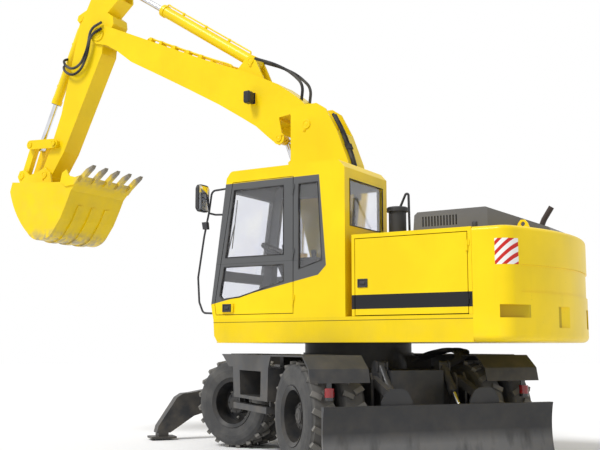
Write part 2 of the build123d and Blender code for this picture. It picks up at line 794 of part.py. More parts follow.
def hood_form(inset):
    """The outer or inner form of the hood: raised box in front, sloping and narrowing tail."""
    floor_z = body_top + running_fit
    half = hood_half_width - inset
    with BuildPart() as form:
        between(-half, half, lambda: Polygon(
            (-1100 - inset, floor_z), (-1115 - inset, floor_z + 195 - inset / 2),
            (-1150 - inset, floor_z + 225 - inset), (-1860, floor_z + 230 - inset),
            (-2360 + 2 * inset, floor_z + 40 - inset), (-2380 + 2 * inset, floor_z), align=None))
        with BuildSketch(Plane.XY.offset(floor_z - 10)):
            Polygon((-1000, -half), (-1000, half), (-1880, half), (-2400, 500 - inset),
                    (-2400, inset - 500), (-1880, -half), align=None)
        extrude(amount=300, mode=Mode.INTERSECT)
    return form.part


outer_hood, inner_hood = hood_form(0), hood_form(hood_wall)
with BuildPart() as engine_hood:
    add(outer_hood)
    add(inner_hood, mode=Mode.SUBTRACT)
    # Louvres through both sides
    with BuildSketch(upright(hood_half_width + 20)):
        with Locations((-1385, 2430)):
            with GridLocations(32, 0, 12, 1):
                Rectangle(14, 100)
    extrude(amount=2 * hood_half_width + 40, mode=Mode.SUBTRACT)
    # Hinge barrels on the front edge
    for y in (-600, 0, 600):
        disc(hood_hinge, hinge_radius, y - 50, y + 50)
    # Bent exhaust pipe on the slope
    foot_x, foot_y = -2050, -300
    foot_z = 2535 + (foot_x + 1860) * 190 / 500
    tube([(foot_x + 6, foot_y, foot_z - 15), (foot_x - 30, foot_y, foot_z + 70),
          (foot_x - 115, foot_y, foot_z + 200)], 60, 30)
    with BuildSketch(Plane(origin=(foot_x, foot_y, foot_z - 3), z_dir=(-190, 0, 500))):
        Circle(46)
    extrude(amount=14)
save("engine_hood", engine_hood.part)

with BuildPart() as engine:
    with BuildSketch(Plane.XY.offset(swing_z + deck_plate)):
        with Locations((-1250, -50)):
            Rectangle(620, 1100)
    extrude(amount=850)
save("engine", engine.part)

with BuildPart() as right_tank:
    for x, length, inner_y, top in ((0, 1100, 290, 2150), (780, 460, 330, 1800)):
        for low, high, outer_y in (
            (swing_z + deck_plate, belt_z, half_width - panel),
            (belt_z, top, half_width),
        ):
            with BuildSketch(Plane.XY.offset(low)):
                with Locations((x, -(outer_y + inner_y) / 2)):
                    Rectangle(length, outer_y - inner_y)
            extrude(amount=high - low)
save("right_tank", right_tank.part)

# Cab
cab_corners = ((cab_rear_x, cab_floor_z), (1120, cab_floor_z), (1150, 1640), (960, 3020),
               (900, cab_roof_z), (-430, cab_roof_z), (cab_rear_x, 3010))
cab_middle_y = (cab_inner_y + cab_outer_y) / 2
door_corners = ((door_rear_x, 1530), (1085, 1530), (1105, 1650), (880, 2970), (door_rear_x, 2970))
rear_side_window = ((40, 2880), (40, 1990), (-235, 2070), (-190, 2880))
right_window = ((-400, 2000), (950, 2000), (830, 2900), (-400, 2900))
door_windows = (
    ((225, 2150), (965, 2150), (855, 2880), (225, 2880)),
    ((225, 2045), (980, 2045), (1035, 1740), (1000, 1700), (780, 1720), (225, 1870)),
)
# Windows in the walls across the cab: height of the middle, width, height
front_windows = ((2450, 830, 860), (1790, 830, 250))
rear_windows = ((2660, 760, 480),)


def cross_windows(x, length, windows):
    """Prisms along X through a wall across the cab, one for each window."""
    with BuildPart(mode=Mode.PRIVATE) as prisms:
        with BuildSketch(Plane.YZ.offset(x)):
            for middle_z, width, height in windows:
                with Locations((cab_middle_y, middle_z)):
                    RectangleRounded(width, height, 40)
        extrude(amount=length)
    return prisms.part


front_prisms = cross_windows(cab_front_x - 350, 500, front_windows)
rear_prisms = cross_windows(cab_rear_x - 50, 150, rear_windows)

with BuildPart() as cab_shell:
    with BuildSketch(upright(cab_outer_y)):
        Polygon(*cab_corners, align=None)
        fillet(vertices().group_by(Axis.Y)[-1], 60)
    extrude(amount=cab_outer_y - cab_inner_y)
    with BuildSketch(upright(cab_outer_y - cab_wall)):
        Polygon(*cab_corners, align=None)
        offset(amount=-cab_wall)
    extrude(amount=cab_outer_y - cab_inner_y - 2 * cab_wall, mode=Mode.SUBTRACT)
    between(cab_outer_y - cab_wall, cab_outer_y, lambda: Polygon(*door_corners, align=None), Mode.SUBTRACT)
    between(cab_outer_y - cab_wall, cab_outer_y, lambda: Polygon(*rear_side_window, align=None),
            Mode.SUBTRACT)
    between(cab_inner_y, cab_inner_y + cab_wall, lambda: Polygon(*right_window, align=None), Mode.SUBTRACT)
    add(front_prisms, mode=Mode.SUBTRACT)
    add(rear_prisms, mode=Mode.SUBTRACT)
    leaves(cab_hinge_x, 1, cab_hinge_z, -1)
save("cab_shell", cab_shell.part)

with BuildPart() as cab_glass:
    # Front and rear panes: a band of the cab's outline, kept where the windows are
    with BuildSketch(upright(cab_outer_y - cab_wall)):
        Polygon(*cab_corners, align=None)
        offset(amount=-pane_inset)
        offset(amount=-pane, mode=Mode.SUBTRACT)
    extrude(amount=cab_outer_y - cab_inner_y - 2 * cab_wall)
    with BuildPart(mode=Mode.PRIVATE) as openings:
        add([front_prisms, rear_prisms])
    add(openings.part, mode=Mode.INTERSECT)
    between(cab_outer_y - pane_inset - pane, cab_outer_y - pane_inset,
            lambda: Polygon(*rear_side_window, align=None))
    between(cab_inner_y + pane_inset, cab_inner_y + pane_inset + pane,
            lambda: Polygon(*right_window, align=None))
save("cab_glass", cab_glass.part)

with BuildPart() as cab_door:
    with BuildSketch(upright(cab_outer_y)):
        Polygon(*door_corners, align=None)
        offset(amount=-door_gap)
        for corners in door_windows:
            Polygon(*corners, align=None, mode=Mode.SUBTRACT)
    extrude(amount=cab_wall)
    # Pull handle
    between(cab_outer_y, cab_outer_y + 22, lambda: Polygon((850, 1560), (1000, 1560), (1000, 1650),
                                                           (850, 1650), align=None))
    leaves(cab_hinge_x, 1, cab_hinge_z, 1)
save("cab_door", cab_door.part)

with BuildPart() as door_glass:
    for corners in door_windows:
        between(cab_outer_y - pane_inset - pane, cab_outer_y - pane_inset,
                lambda: Polygon(*corners, align=None))
save("door_glass", door_glass.part)

seat_x = 60
seat_floor = cab_floor_z + cab_wall
cushion_z = seat_floor + 330
cushion_gap = 0.3
with BuildPart() as cab_seat:
    # Cushion, backrest and headrest
    with BuildSketch(Plane.XY.offset(cushion_z + cushion_gap)):
        with Locations((seat_x + 50, cab_middle_y)):
            RectangleRounded(500, 500, 70)
    extrude(amount=130)
    chamfer(faces().sort_by(Axis.Z)[-1].edges(), 25)
    between(cab_middle_y - 235, cab_middle_y + 235, lambda: Polygon(
        (seat_x - 200, 1970), (seat_x - 80, 1970), (seat_x - 150, 2560), (seat_x - 250, 2560), align=None))
    between(cab_middle_y - 130, cab_middle_y + 130, lambda: Polygon(
        (seat_x - 255, 2560), (seat_x - 165, 2560), (seat_x - 175, 2740), (seat_x - 245, 2740), align=None))
save("cab_seat", cab_seat.part)

with BuildPart() as cab_controls:
    # Suspension box, arm consoles with their levers, steering column and wheel
    with BuildSketch(Plane.XY.offset(seat_floor)):
        with Locations((seat_x + 30, cab_middle_y)):
            Rectangle(360, 380)
    extrude(amount=cushion_z - seat_floor)
    for side in (-1, 1):
        y = cab_middle_y + side * 305
        between(y - 45, y + 45, lambda: Polygon(
            (seat_x - 150, 1900), (seat_x + 260, 1900), (seat_x + 330, 2060), (seat_x + 250, 2120),
            (seat_x - 150, 2120), align=None))
        between(y - 20, y + 20, lambda: Polygon(
            (seat_x + 225, 2110), (seat_x + 265, 2110), (seat_x + 285, 2270), (seat_x + 235, 2270),
            align=None))
        # Stay from the suspension box
        low, high = sorted((y, cab_middle_y + side * 170))
        between(low, high, lambda: Polygon(
            (seat_x - 100, 1800), (seat_x + 100, 1800), (seat_x + 100, 1850), (seat_x - 100, 1850),
            align=None))
        between(y - 20, y + 20, lambda: Polygon(
            (seat_x - 60, 1830), (seat_x + 60, 1830), (seat_x + 60, 1910), (seat_x - 60, 1910),
            align=None))
    between(cab_middle_y - 60, cab_middle_y + 60, lambda: Polygon(
        (690, seat_floor), (850, seat_floor), (700, 2180), (630, 2180), align=None))
    wheel_plane = Plane(origin=(620, cab_middle_y, 2230), x_dir=(0, 1, 0), z_dir=(-0.5, 0, 0.866))
    with BuildSketch(wheel_plane):
        Circle(190)
        Circle(162, mode=Mode.SUBTRACT)
        Rectangle(340, 50)
        Circle(60)
    extrude(amount=28)
    with BuildSketch(wheel_plane):
        Circle(45)
    extrude(amount=-90)
save("cab_controls", cab_controls.part)

with BuildPart() as pre_cleaner:
    with BuildSketch(Plane.XY.offset(body_top)):
        with Locations(pre_cleaner_place):
            Circle(92)
    extrude(amount=290)
    with BuildSketch(Plane.XY.offset(body_top + 290)):
        with Locations(pre_cleaner_place):
            Circle(112)
    extrude(amount=50)
    fillet(edges().filter_by(GeomType.CIRCLE).group_by(Axis.Z)[-1], 18)
save("pre_cleaner", pre_cleaner.part)

rail_y = 1222
with BuildPart() as rails:
    # Front stay of the cab with the mirror
    tube(at_y(rail_y, ((900, 2915), (1170, 2905), (1205, 2680), (1270, 2400), (1345, 1950), (1325, 1680),
                       (1270, 1560), (1080, 1550))), 60, 11)
    tube(at_y(rail_y, ((1215, 2660), (1120, 2635), (950, 2625))), 60, 11)
    between(cab_inner_y, cab_outer_y, lambda: Polygon(*cab_corners, align=None), Mode.SUBTRACT)
    with BuildPart(mode=Mode.PRIVATE) as mirror_head:
        with BuildSketch(Plane.YZ.offset(1205)):
            with Locations((1325, 2810)):
                RectangleRounded(200, 300, 50)
        extrude(amount=55)
        chamfer(faces().sort_by(Axis.X)[-1].edges(), 20)
    add(mirror_head.part)
    between(rail_y - 22, rail_y + 22, lambda: Polygon((1215, 2480), (1275, 2480), (1290, 2560), (1225, 2560),
                                                      align=None))
    # Grab rail on the body beside the pre-cleaner
    tube(at_y(380, ((-605, body_top - 20), (-625, 2480), (-820, 2890), (-830, body_top - 20))), 20, 13)
    with BuildSketch(Plane.XY.offset(body_top)):
        with Locations((-720, 380)):
            Rectangle(400, 100)
    extrude(amount=-60, mode=Mode.SUBTRACT)
save("rails", rails.part)

# Lower boom
with BuildPart() as lower_boom:
    for side in (-1, 1):
        with BuildSketch(upright(max(side * lower_boom_y, side * (lower_boom_y - plate)))):
            with BuildLine():
                Polyline((170, 1720), (20, 2450), (-40, 3050), (10, 3310), (150, 3680), (300, 3960),
                         (420, 4040), (700, 4045), (775, 3970), (775, 3300), (880, 3110),
                         (880, 3010), (830, 2995), (668, 2988), (672, 2850), (640, 2750),
                         (500, 2200), (430, 1700), close=True)
            make_face()
            with Locations(boom_foot):
                Circle(130)
        extrude(amount=plate)
    # Rear plate and inner web between the side plates
    for outline in (
        ((170, 1760), (20, 2450), (-40, 3050), (10, 3310), (150, 3680), (180, 3664), (42, 3300),
         (-8, 3050), (52, 2455), (200, 1770)),
        ((200, 2150), (250, 3300), (300, 3430), (275, 3445), (225, 3310), (175, 2160)),
    ):
        with BuildSketch(upright(lower_boom_y - plate)):
            with BuildLine():
                Polyline(*outline, close=True)
            make_face()
        extrude(amount=2 * (lower_boom_y - plate))
    disc(boom_foot, 125, -lower_boom_y, lower_boom_y)
    disc(boom_foot, 50 + pin_play, -lower_boom_y - 5, lower_boom_y + 5, Mode.SUBTRACT)
    disc(boom_joint, 45, -lower_boom_y, lower_boom_y)
    disc(adjust_base, 34, -lower_boom_y, lower_boom_y)
save("lower_boom", lower_boom.part)

with BuildPart() as lower_boom_hoses:
    # A pair of lines up the back of the boom, held by two clamp blocks
    for y in (55, 110):
        route = at_y(y, ((-2, 2520), (-58, 3040), (-8, 3318), (132, 3688), (250, 3905)))
        tube(route, full_bends(route), hose_radius)
    for x, z, tilt in ((-43, 2900, 96), (60, 3495, 69)):
        with BuildSketch(upright(135)) as clamp:
            with Locations((x, z)):
                Rectangle(70, 52, rotation=tilt)
        extrude(clamp.sketch, amount=105)
    add(lower_boom.part, mode=Mode.SUBTRACT)
save("lower_boom_hoses", lower_boom_hoses.part)

with BuildPart() as boom_barrels:
    for side in (-1, 1):
        barrel(boom_cylinder, side * boom_cylinder_y)
save("boom_barrels", boom_barrels.part)

with BuildPart() as boom_rods:
    for side in (-1, 1):
        rod(boom_cylinder, side * boom_cylinder_y)
save("boom_rods", boom_rods.part)

with BuildPart() as adjust_barrel:
    barrel(adjust_cylinder)
save("adjust_barrel", adjust_barrel.part)

with BuildPart() as adjust_piston:
    rod(adjust_cylinder)
save("adjust_rod", adjust_piston.part)

# Upper boom


def upper_boom_outline():
    Polyline((560, 4020), (720, 4170), (980, 4360), (1410, 4570), (2120, 4860), (3210, 5350),
             (3860, 5640), (4030, 5640), (4080, 5480), (3990, 5390), (3800, 5340), (3610, 5230),
             (3330, 5020), (2820, 4750), (2320, 4480), (1850, 4220), (1510, 4010), (1290, 3870),
             (1120, 3720), (1000, 3620), (960, 3600), (900, 3640), (960, 3940), (800, 3960),
             (640, 3620), close=True)


with BuildPart() as upper_boom:
    with BuildSketch(upright(upper_boom_y)):
        with BuildLine():
            upper_boom_outline()
        make_face()
        with Locations(boom_joint):
            Circle(220)
        with Locations(boom_nose):
            Circle(130)
        with Locations(adjust_rod):
            Circle(65)
    extrude(amount=2 * upper_boom_y)
    with BuildSketch(upright(upper_boom_y - plate)):
        with BuildLine():
            Polyline((1020, 4350), (1410, 4545), (2120, 4835), (3210, 5325), (3480, 5440),
                     (3480, 5160), (3330, 5050), (2820, 4780), (2320, 4510), (1850, 4250),
                     (1510, 4040), (1330, 3930), close=True)
        make_face()
    extrude(amount=2 * (upper_boom_y - plate), mode=Mode.SUBTRACT)
    # Open fork at the nose and open foot round the adjusting cylinder
    with BuildSketch(upright(upper_boom_y - plate)):
        with Locations(boom_nose):
            Circle(330)
        with BuildLine():
            Polyline((820, 3500), (1320, 3500), (1250, 3840), (1060, 3900), (860, 3920), close=True)
        make_face()
    extrude(amount=2 * (upper_boom_y - plate), mode=Mode.SUBTRACT)
    for side in (-1, 1):
        low, high = sorted((side * stub_gap, side * upper_boom_y))
        disc(adjust_rod, 60, low, high)
    disc(boom_nose, 45, -upper_boom_y, upper_boom_y)
    disc(boom_joint, 45 + pin_play, -upper_boom_y - 5, upper_boom_y + 5, Mode.SUBTRACT)
    # Lugs of the arm cylinder
    for low in (-104, 80):
        between(low, low + plate, lambda: (Polygon((1230, 4480), (1370, 4780), (1430, 4820),
                                                   (1500, 4790), (1640, 4650), align=None)))
    disc(arm_cylinder_base, 38, -104, 104)
    # Round bosses round the pins
    for side in (-1, 1):
        low, high = sorted((side * (upper_boom_y - 2), side * (upper_boom_y + boss_height)))
        disc(boom_nose, 95, low, high)
        disc(adjust_rod, 75, low, high)
    # Work lamp on its bracket
    between(upper_boom_y - 1, upper_boom_y + 25, lambda: Polygon(
        (1290, 4150), (1350, 4150), (1375, 4290), (1290, 4290), align=None))
    with BuildPart(mode=Mode.PRIVATE) as work_lamp:
        with BuildSketch(Plane.YZ.offset(1295)):
            with Locations((upper_boom_y + 24 + 62, 4225)):
                RectangleRounded(124, 150, 25)
        extrude(amount=85)
        chamfer(faces().sort_by(Axis.X)[0].edges(), 22)
        with BuildSketch(faces().sort_by(Axis.X)[-1]):
            RectangleRounded(100, 126, 18)
        extrude(amount=-12, mode=Mode.SUBTRACT)
    add(work_lamp.part)
save("upper_boom", upper_boom.part)

with BuildPart() as boom_hoses:
    # Two lines from the boom's back over its knee to the arm cylinder's lugs
    for y in (-97, 97):
        route = at_y(y, ((690, 4120), (665, 4330), (850, 4515), (1080, 4650), (1365, 4765)))
        tube(route, full_bends(route), hose_radius)
    add(upper_boom.part, mode=Mode.SUBTRACT)
save("boom_hoses", boom_hoses.part)

with BuildPart() as arm_barrel:
    barrel(arm_cylinder)
save("arm_barrel", arm_barrel.part)

with BuildPart() as arm_rod:
    rod(arm_cylinder)
save("arm_rod", arm_rod.part)

# Arm, drawn from its tip: distance towards the boom nose, then distance forward
arm_length = math.dist(arm_tip, boom_nose)
arm_up = ((boom_nose[0] - arm_tip[0]) / arm_length, (boom_nose[1] - arm_tip[1]) / arm_length)


def arm_point(up, forward):
    return (arm_tip[0] + up * arm_up[0] + forward * arm_up[1],
            arm_tip[1] + up * arm_up[1] - forward * arm_up[0])


with BuildPart() as arm:
    with BuildSketch(upright(arm_y)):
        with BuildLine():
            Polyline(*[arm_point(*spot) for spot in (
                (0, -100), (420, -165), (1900, -170), (2000, -130))],
                (3700, 5640), (3715, 5740), (3790, 5800), (3816, 5816), (3650, 5946), (3600, 5985),
                (3620, 6300), (3760, 6340), (3900, 6300),
                *[arm_point(*spot) for spot in ((2600, 410), (2236, 425), (2000, 400), (1600, 315),
                                                (1160, 215), (880, 150), (350, 105), (0, 100))],
                close=True)
        make_face()
        with Locations(arm_tip):
            Circle(105)
    extrude(amount=2 * arm_y)
    with BuildSketch(upright(arm_y - plate)):
        with BuildLine():
            Polyline(*[arm_point(*spot) for spot in (
                (620, -140), (1850, -145), (1900, 250), (1600, 285), (1160, 185), (880, 120),
                (620, 98))],
                close=True)
        make_face()
    extrude(amount=2 * (arm_y - plate), mode=Mode.SUBTRACT)
    # Open top between the side plates, where the rod's eye works
    with BuildSketch(upright(arm_y - plate)):
        with BuildLine():
            Polyline((3400, 6000), (3780, 5960), (4000, 6150), (4000, 6500), (3400, 6500), close=True)
        make_face()
    extrude(amount=2 * (arm_y - plate), mode=Mode.SUBTRACT)
    for side in (-1, 1):
        low, high = sorted((side * stub_gap, side * arm_y))
        disc(arm_cylinder_rod, 75, low, high)
    for low in (-96, 72):
        between(low, low + plate, lambda: (Polygon((4150, 5750), (4170, 5980), (4340, 5930),
                                                   (4420, 5900), (4440, 5840), (4400, 5790),
                                                   (4260, 5640), align=None)))
    disc(bucket_cylinder_base, 34, -96, 96)
    disc(boom_nose, 45 + pin_play, -arm_y - 5, arm_y + 5, Mode.SUBTRACT)
    disc(arm_tip, 38 + pin_play, -arm_y - 5, arm_y + 5, Mode.SUBTRACT)
    disc(rocker_pin, 60, -arm_y - 35, arm_y + 35)
    disc(rocker_pin, 34, -arm_y - 75, arm_y + 75)
save("arm", arm.part)

with BuildPart() as bucket_barrel:
    barrel(bucket_cylinder)
save("bucket_barrel", bucket_barrel.part)

with BuildPart() as arm_hoses:
    # Two lines that hang in a loop beside the boom nose and end at the barrel's port
    for y, z in ((215, 0), (215, -90)):
        route = ((3860, y, 5665 + z), (4060, y, 5610 + z), (4110, y, 5330 + z), (4220, y, 5130 + z),
                 (4380, y, 5070 + z), (4530, y, 5150 + z), (4640, y - 75, 5270 + z),
                 (4635 - z * 0.46, 0, 5325 + z))
        tube(route, full_bends(route), hose_radius)
    add(bucket_barrel.part, mode=Mode.SUBTRACT)
    round_bar(bucket_cylinder_base, link_pin, 100, 900, bucket_cylinder["bore"], 0, Mode.SUBTRACT)
save("arm_hoses", arm_hoses.part)

with BuildPart() as bucket_rod:
    rod(bucket_cylinder)
save("bucket_rod", bucket_rod.part)

rocker_y = 185
with BuildPart() as rocker:
    for side in (-1, 1):
        low, high = sorted((side * rocker_y, side * (rocker_y + 25)))
        middle = ((rocker_pin[0] + link_pin[0]) / 2, (rocker_pin[1] + link_pin[1]) / 2)
        tilt = math.degrees(math.atan2(link_pin[1] - rocker_pin[1], link_pin[0] - rocker_pin[0]))
        with BuildSketch(upright(high)):
            with Locations(middle):
                SlotCenterToCenter(math.dist(rocker_pin, link_pin), 130, rotation=tilt)
            with Locations(rocker_pin):
                Circle(34 + pin_play, mode=Mode.SUBTRACT)
        extrude(amount=high - low)
        low, high = sorted((side * stub_gap, side * (rocker_y + 25)))
        disc(link_pin, 34, low, high)
save("rocker", rocker.part)

with BuildPart() as bucket_link:
    middle = ((bucket_pin[0] + link_pin[0]) / 2, (bucket_pin[1] + link_pin[1]) / 2)
    tilt = math.degrees(math.atan2(link_pin[1] - bucket_pin[1], link_pin[0] - bucket_pin[0]))
    for side in (-1, 1):
        low, high = sorted((side * 62, side * 140))
        with BuildSketch(upright(high)):
            with Locations(middle):
                SlotCenterToCenter(math.dist(bucket_pin, link_pin), 110, rotation=tilt)
            with Locations(link_pin):
                Circle(34 + pin_play, mode=Mode.SUBTRACT)
        extrude(amount=high - low)
    disc(bucket_pin, 55, -140, 140)
save("bucket_link", bucket_link.part)

# Bucket
with BuildPart() as bucket:
    def bucket_outline():
        Polyline((3850, 3450), (4030, 3270), (4110, 3100), (4210, 2910), (4350, 2730))
        ThreePointArc((4350, 2730), (4560, 2632), (4830, 2750))
        ThreePointArc((4830, 2750), (5050, 3010), (5200, 3350))
        Polyline((5200, 3350), (5160, 3480), (4760, 3440), (4200, 3400), (3850, 3450))

    with BuildSketch(upright(bucket_half_width)):
        with BuildLine():
            bucket_outline()
        make_face()
    extrude(amount=2 * bucket_half_width)
    with BuildSketch(upright(bucket_half_width - 25)):
        with BuildLine():
            Polyline((3800, 3560), (4050, 3290), (4130, 3112), (4230, 2922), (4368, 2748))
            ThreePointArc((4368, 2748), (4560, 2655), (4812, 2768))
            ThreePointArc((4812, 2768), (5030, 3020), (5172, 3350))
            Polyline((5172, 3350), (5140, 3430), (4770, 3400), (4740, 3560), (3800, 3560))
        make_face()
    extrude(amount=2 * (bucket_half_width - 25), mode=Mode.SUBTRACT)
    # Ears with the arm pin and the link bosses
    for side in (-1, 1):
        low, high = sorted((side * 152, side * 180))
        between(low, high, lambda: (Polygon((4740, 3430), (4790, 3640), (4900, 3730), (5020, 3680),
                                            (5200, 3640), (5300, 3730), (5400, 3720), (5440, 3640),
                                            (5400, 3560), (5190, 3360), align=None)))
    disc(arm_tip, 38, -180, 180)
    # Side cutters on the front corners, wear straps round the back
    for side in (-1, 1):
        low, high = sorted((side * (bucket_half_width - 5), side * (bucket_half_width + 18)))
        between(low, high, lambda: Polygon(
            (3850, 3455), (3960, 3340), (4120, 3330), (4215, 3400), (4185, 3520), (4110, 3560),
            (4060, 3470), (3950, 3440), align=None))
    for y in (-260, 0, 260):
        with BuildSketch(upright(y + 40)) as strap:
            with BuildLine():
                Polyline((4110, 3100), (4210, 2910), (4350, 2730))
                ThreePointArc((4350, 2730), (4560, 2632), (4830, 2750))
                Line((4830, 2750), (4842, 2738))
                ThreePointArc((4842, 2738), (4560, 2614), (4338, 2717))
                Polyline((4338, 2717), (4196, 2900), (4095, 3094), (4110, 3100))
            make_face()
        extrude(strap.sketch, amount=80)
    # Teeth along the lip
    for index in range(tooth_count):
        y = (index - (tooth_count - 1) / 2) * 2 * (bucket_half_width - 50) / (tooth_count - 1)
        between(y - 32, y + 32, lambda: (Polygon((3900, 3370), (3680, 3540), (3660, 3580),
                                                 (3780, 3540), (3960, 3400), align=None)))
save("bucket", bucket.part)
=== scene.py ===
import json
import math

import bpy
from bpy.props import FloatProperty, FloatVectorProperty, IntProperty, PointerProperty
from mathutils import Matrix, Vector


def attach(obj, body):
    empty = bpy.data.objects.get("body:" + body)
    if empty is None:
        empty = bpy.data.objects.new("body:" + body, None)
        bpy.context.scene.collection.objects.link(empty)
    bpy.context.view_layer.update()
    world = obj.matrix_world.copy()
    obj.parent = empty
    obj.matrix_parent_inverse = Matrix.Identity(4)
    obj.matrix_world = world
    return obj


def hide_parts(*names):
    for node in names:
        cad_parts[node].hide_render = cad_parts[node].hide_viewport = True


bl_info = {
    "name": "Wheeled excavator finish",
    "version": (1, 0, 0),
    "blender": (4, 5, 0),
    "location": "View3D > Sidebar > Excavator",
    "description": "Paint, fittings and studio round the packed wheeled excavator",
    "category": "Object",
}

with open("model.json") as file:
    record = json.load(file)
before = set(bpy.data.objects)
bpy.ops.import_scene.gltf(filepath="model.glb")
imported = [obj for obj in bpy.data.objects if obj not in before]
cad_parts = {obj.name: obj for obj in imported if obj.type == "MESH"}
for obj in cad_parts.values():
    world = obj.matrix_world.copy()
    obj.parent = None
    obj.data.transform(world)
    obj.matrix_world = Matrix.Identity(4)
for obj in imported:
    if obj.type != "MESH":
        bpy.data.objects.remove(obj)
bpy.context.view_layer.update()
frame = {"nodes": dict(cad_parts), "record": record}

# The undercarriage is turned under the upper structure
CHASSIS_TURN = Matrix.Rotation(math.radians(-37.5), 4, "Z")
# Far enough past either end of the machine for a mask that has no limit there
NO_LIMIT = 10.0
MIRROR = (1, -1)
EARTH = (0.30, 0.25, 0.18)
SCOURED_STEEL = (0.26, 0.24, 0.22)

# Filled by the paint step, used by all the others
materials = {}


def colour_property(name, description, default):
    return FloatVectorProperty(name=name, description=description, default=default, subtype="COLOR",
                               size=3, min=0, max=1)


def length_property(name, description, default):
    return FloatProperty(name=name, description=description, default=default, unit="LENGTH", min=0.001)


class PaintSettings(bpy.types.PropertyGroup):
    """Colours of the machine."""
    body: colour_property("Body", "Enamel of the body and the digging gear", (0.88, 0.63, 0.003))
    undercarriage: colour_property("Undercarriage", "Enamel of the undercarriage", (0.040, 0.041, 0.044))
    hood: colour_property("Hood", "Enamel of the engine hood", (0.135, 0.135, 0.142))
    cab_frame: colour_property("Cab frame", "Enamel round the cab windows", (0.10, 0.102, 0.105))
    stripe: colour_property("Stripe", "Stripe along the side doors", (0.012, 0.012, 0.014))
    tyre: colour_property("Tyre", "Rubber of the tyres", (0.060, 0.060, 0.061))
    glass: colour_property("Glass", "Tint of the windows", (0.91, 0.92, 0.97))
    cloth: colour_property("Seat cloth", "Woven cover of the seat", (0.05, 0.052, 0.062))


class FittingSettings(bpy.types.PropertyGroup):
    """Sizes of the small fittings."""
    nut_radius: length_property("Wheel nut", "Radius over the corners of a wheel nut", 0.019)
    nut_circle: length_property("Nut circle", "Radius of the circle of wheel nuts", 0.192)
    nut_count: IntProperty(name="Nuts", description="Wheel nuts on each wheel", default=10, min=4)
    pipe_radius: length_property("Oil pipe", "Radius of the oil pipes", 0.011)
    seal_radius: length_property("Window seal", "Radius of the rubber round the windows", 0.008)
    cushion_swell: length_property("Cushion swell", "Furthest that the seat cover stands out", 0.014)


class StudioSettings(bpy.types.PropertyGroup):
    """Camera and light."""
    lens: FloatProperty(name="Lens", description="Focal length in mm", default=55.5, min=10)
    sun: FloatProperty(name="Key light", description="Strength of the soft sun", default=2.3, min=0)
    fill: FloatProperty(name="Fill", description="Strength of the sky on the object", default=0.62, min=0)


class Socket:
    """An output of a node that takes part in sums."""

    def __init__(self, finish, output):
        self.finish = finish
        self.output = output

    def sum(self, operation, *values):
        return self.finish.add("ShaderNodeMath", {"operation": operation}, dict(enumerate(values)))

    def __add__(self, other):
        return self.sum("ADD", self, other)

    def __radd__(self, other):
        return self.sum("ADD", other, self)

    def __sub__(self, other):
        return self.sum("SUBTRACT", self, other)

    def __rsub__(self, other):
        return self.sum("SUBTRACT", other, self)

    def __mul__(self, other):
        return self.sum("MULTIPLY", self, other)

    def __rmul__(self, other):
        return self.sum("MULTIPLY", other, self)

    def __gt__(self, other):
        return self.sum("GREATER_THAN", self, other)

    def __lt__(self, other):
        return self.sum("LESS_THAN", self, other)

    def __abs__(self):
        return self.sum("ABSOLUTE", self)

    def root(self):
        return self.sum("SQRT", self)

    def fraction(self):
        return self.sum("FRACT", self)

    def between(self, low, high):
        return (self > low) * (self < high)

    def ramp(self, low, high):
        """From 0 at low to 1 at high."""
        return self.finish.add("ShaderNodeMapRange", {"clamp": True}, {0: self, 1: low, 2: high})


class Finish:
    """A material that is put together from expressions on the object's own coordinates."""

    def __init__(self, name, **settings):
        self.material = bpy.data.materials.new(name)
        self.material.use_nodes = True
        self.tree = self.material.node_tree
        self.surface = self.tree.nodes["Principled BSDF"]
        self.place = self.add("ShaderNodeTexCoord", output="Object")
        self.x, self.y, self.z = (
            self.add("ShaderNodeSeparateXYZ", inputs={0: self.place}, output=axis) for axis in range(3))
        self.set(**settings)

    def add(self, kind, settings=(), inputs=(), output=0):
        """Add a node of any kind with its settings, then the values or links of its sockets."""
        node = self.tree.nodes.new(kind)
        for name, value in dict(settings).items():
            setattr(node, name, value)
        for name, value in dict(inputs).items():
            self.join(node.inputs[name], value)
        return Socket(self, node.outputs[output])

    def join(self, target, value):
        if isinstance(value, Socket):
            self.tree.links.new(value.output, target)
        elif target.type == "RGBA":
            target.default_value = (*value, 1)
        else:
            target.default_value = value

    def set(self, **settings):
        """Set or link the shader's sockets: base_color is Base Color, and so on."""
        for name, value in settings.items():
            self.join(self.surface.inputs[name.replace("_", " ").title().replace("Ior", "IOR")], value)

    def noise(self, scale, detail=3.0, stretch=None):
        place = self.place
        if stretch:
            place = self.add("ShaderNodeMapping", {"vector_type": "POINT"}, {0: place, 3: stretch})
        return self.add("ShaderNodeTexNoise", {}, {"Vector": place, "Scale": scale, "Detail": detail})

    def dot(self, first, second):
        inputs = {0: first, 1: second}
        return self.add("ShaderNodeVectorMath", {"operation": "DOT_PRODUCT"}, inputs, "Value")

    def blend(self, mask, first, second):
        """The first colour where the mask is 0, the second where it is 1."""
        return self.add("ShaderNodeMix", {"data_type": "RGBA"}, {0: mask, 6: first, 7: second}, 2)

    def bump(self, height, distance, strength=1.0):
        self.set(normal=self.add("ShaderNodeBump", {}, {"Strength": strength, "Distance": distance,
                                                        "Height": height}))


def tone(colour, factor):
    return tuple(min(1.0, part * factor) for part in colour)


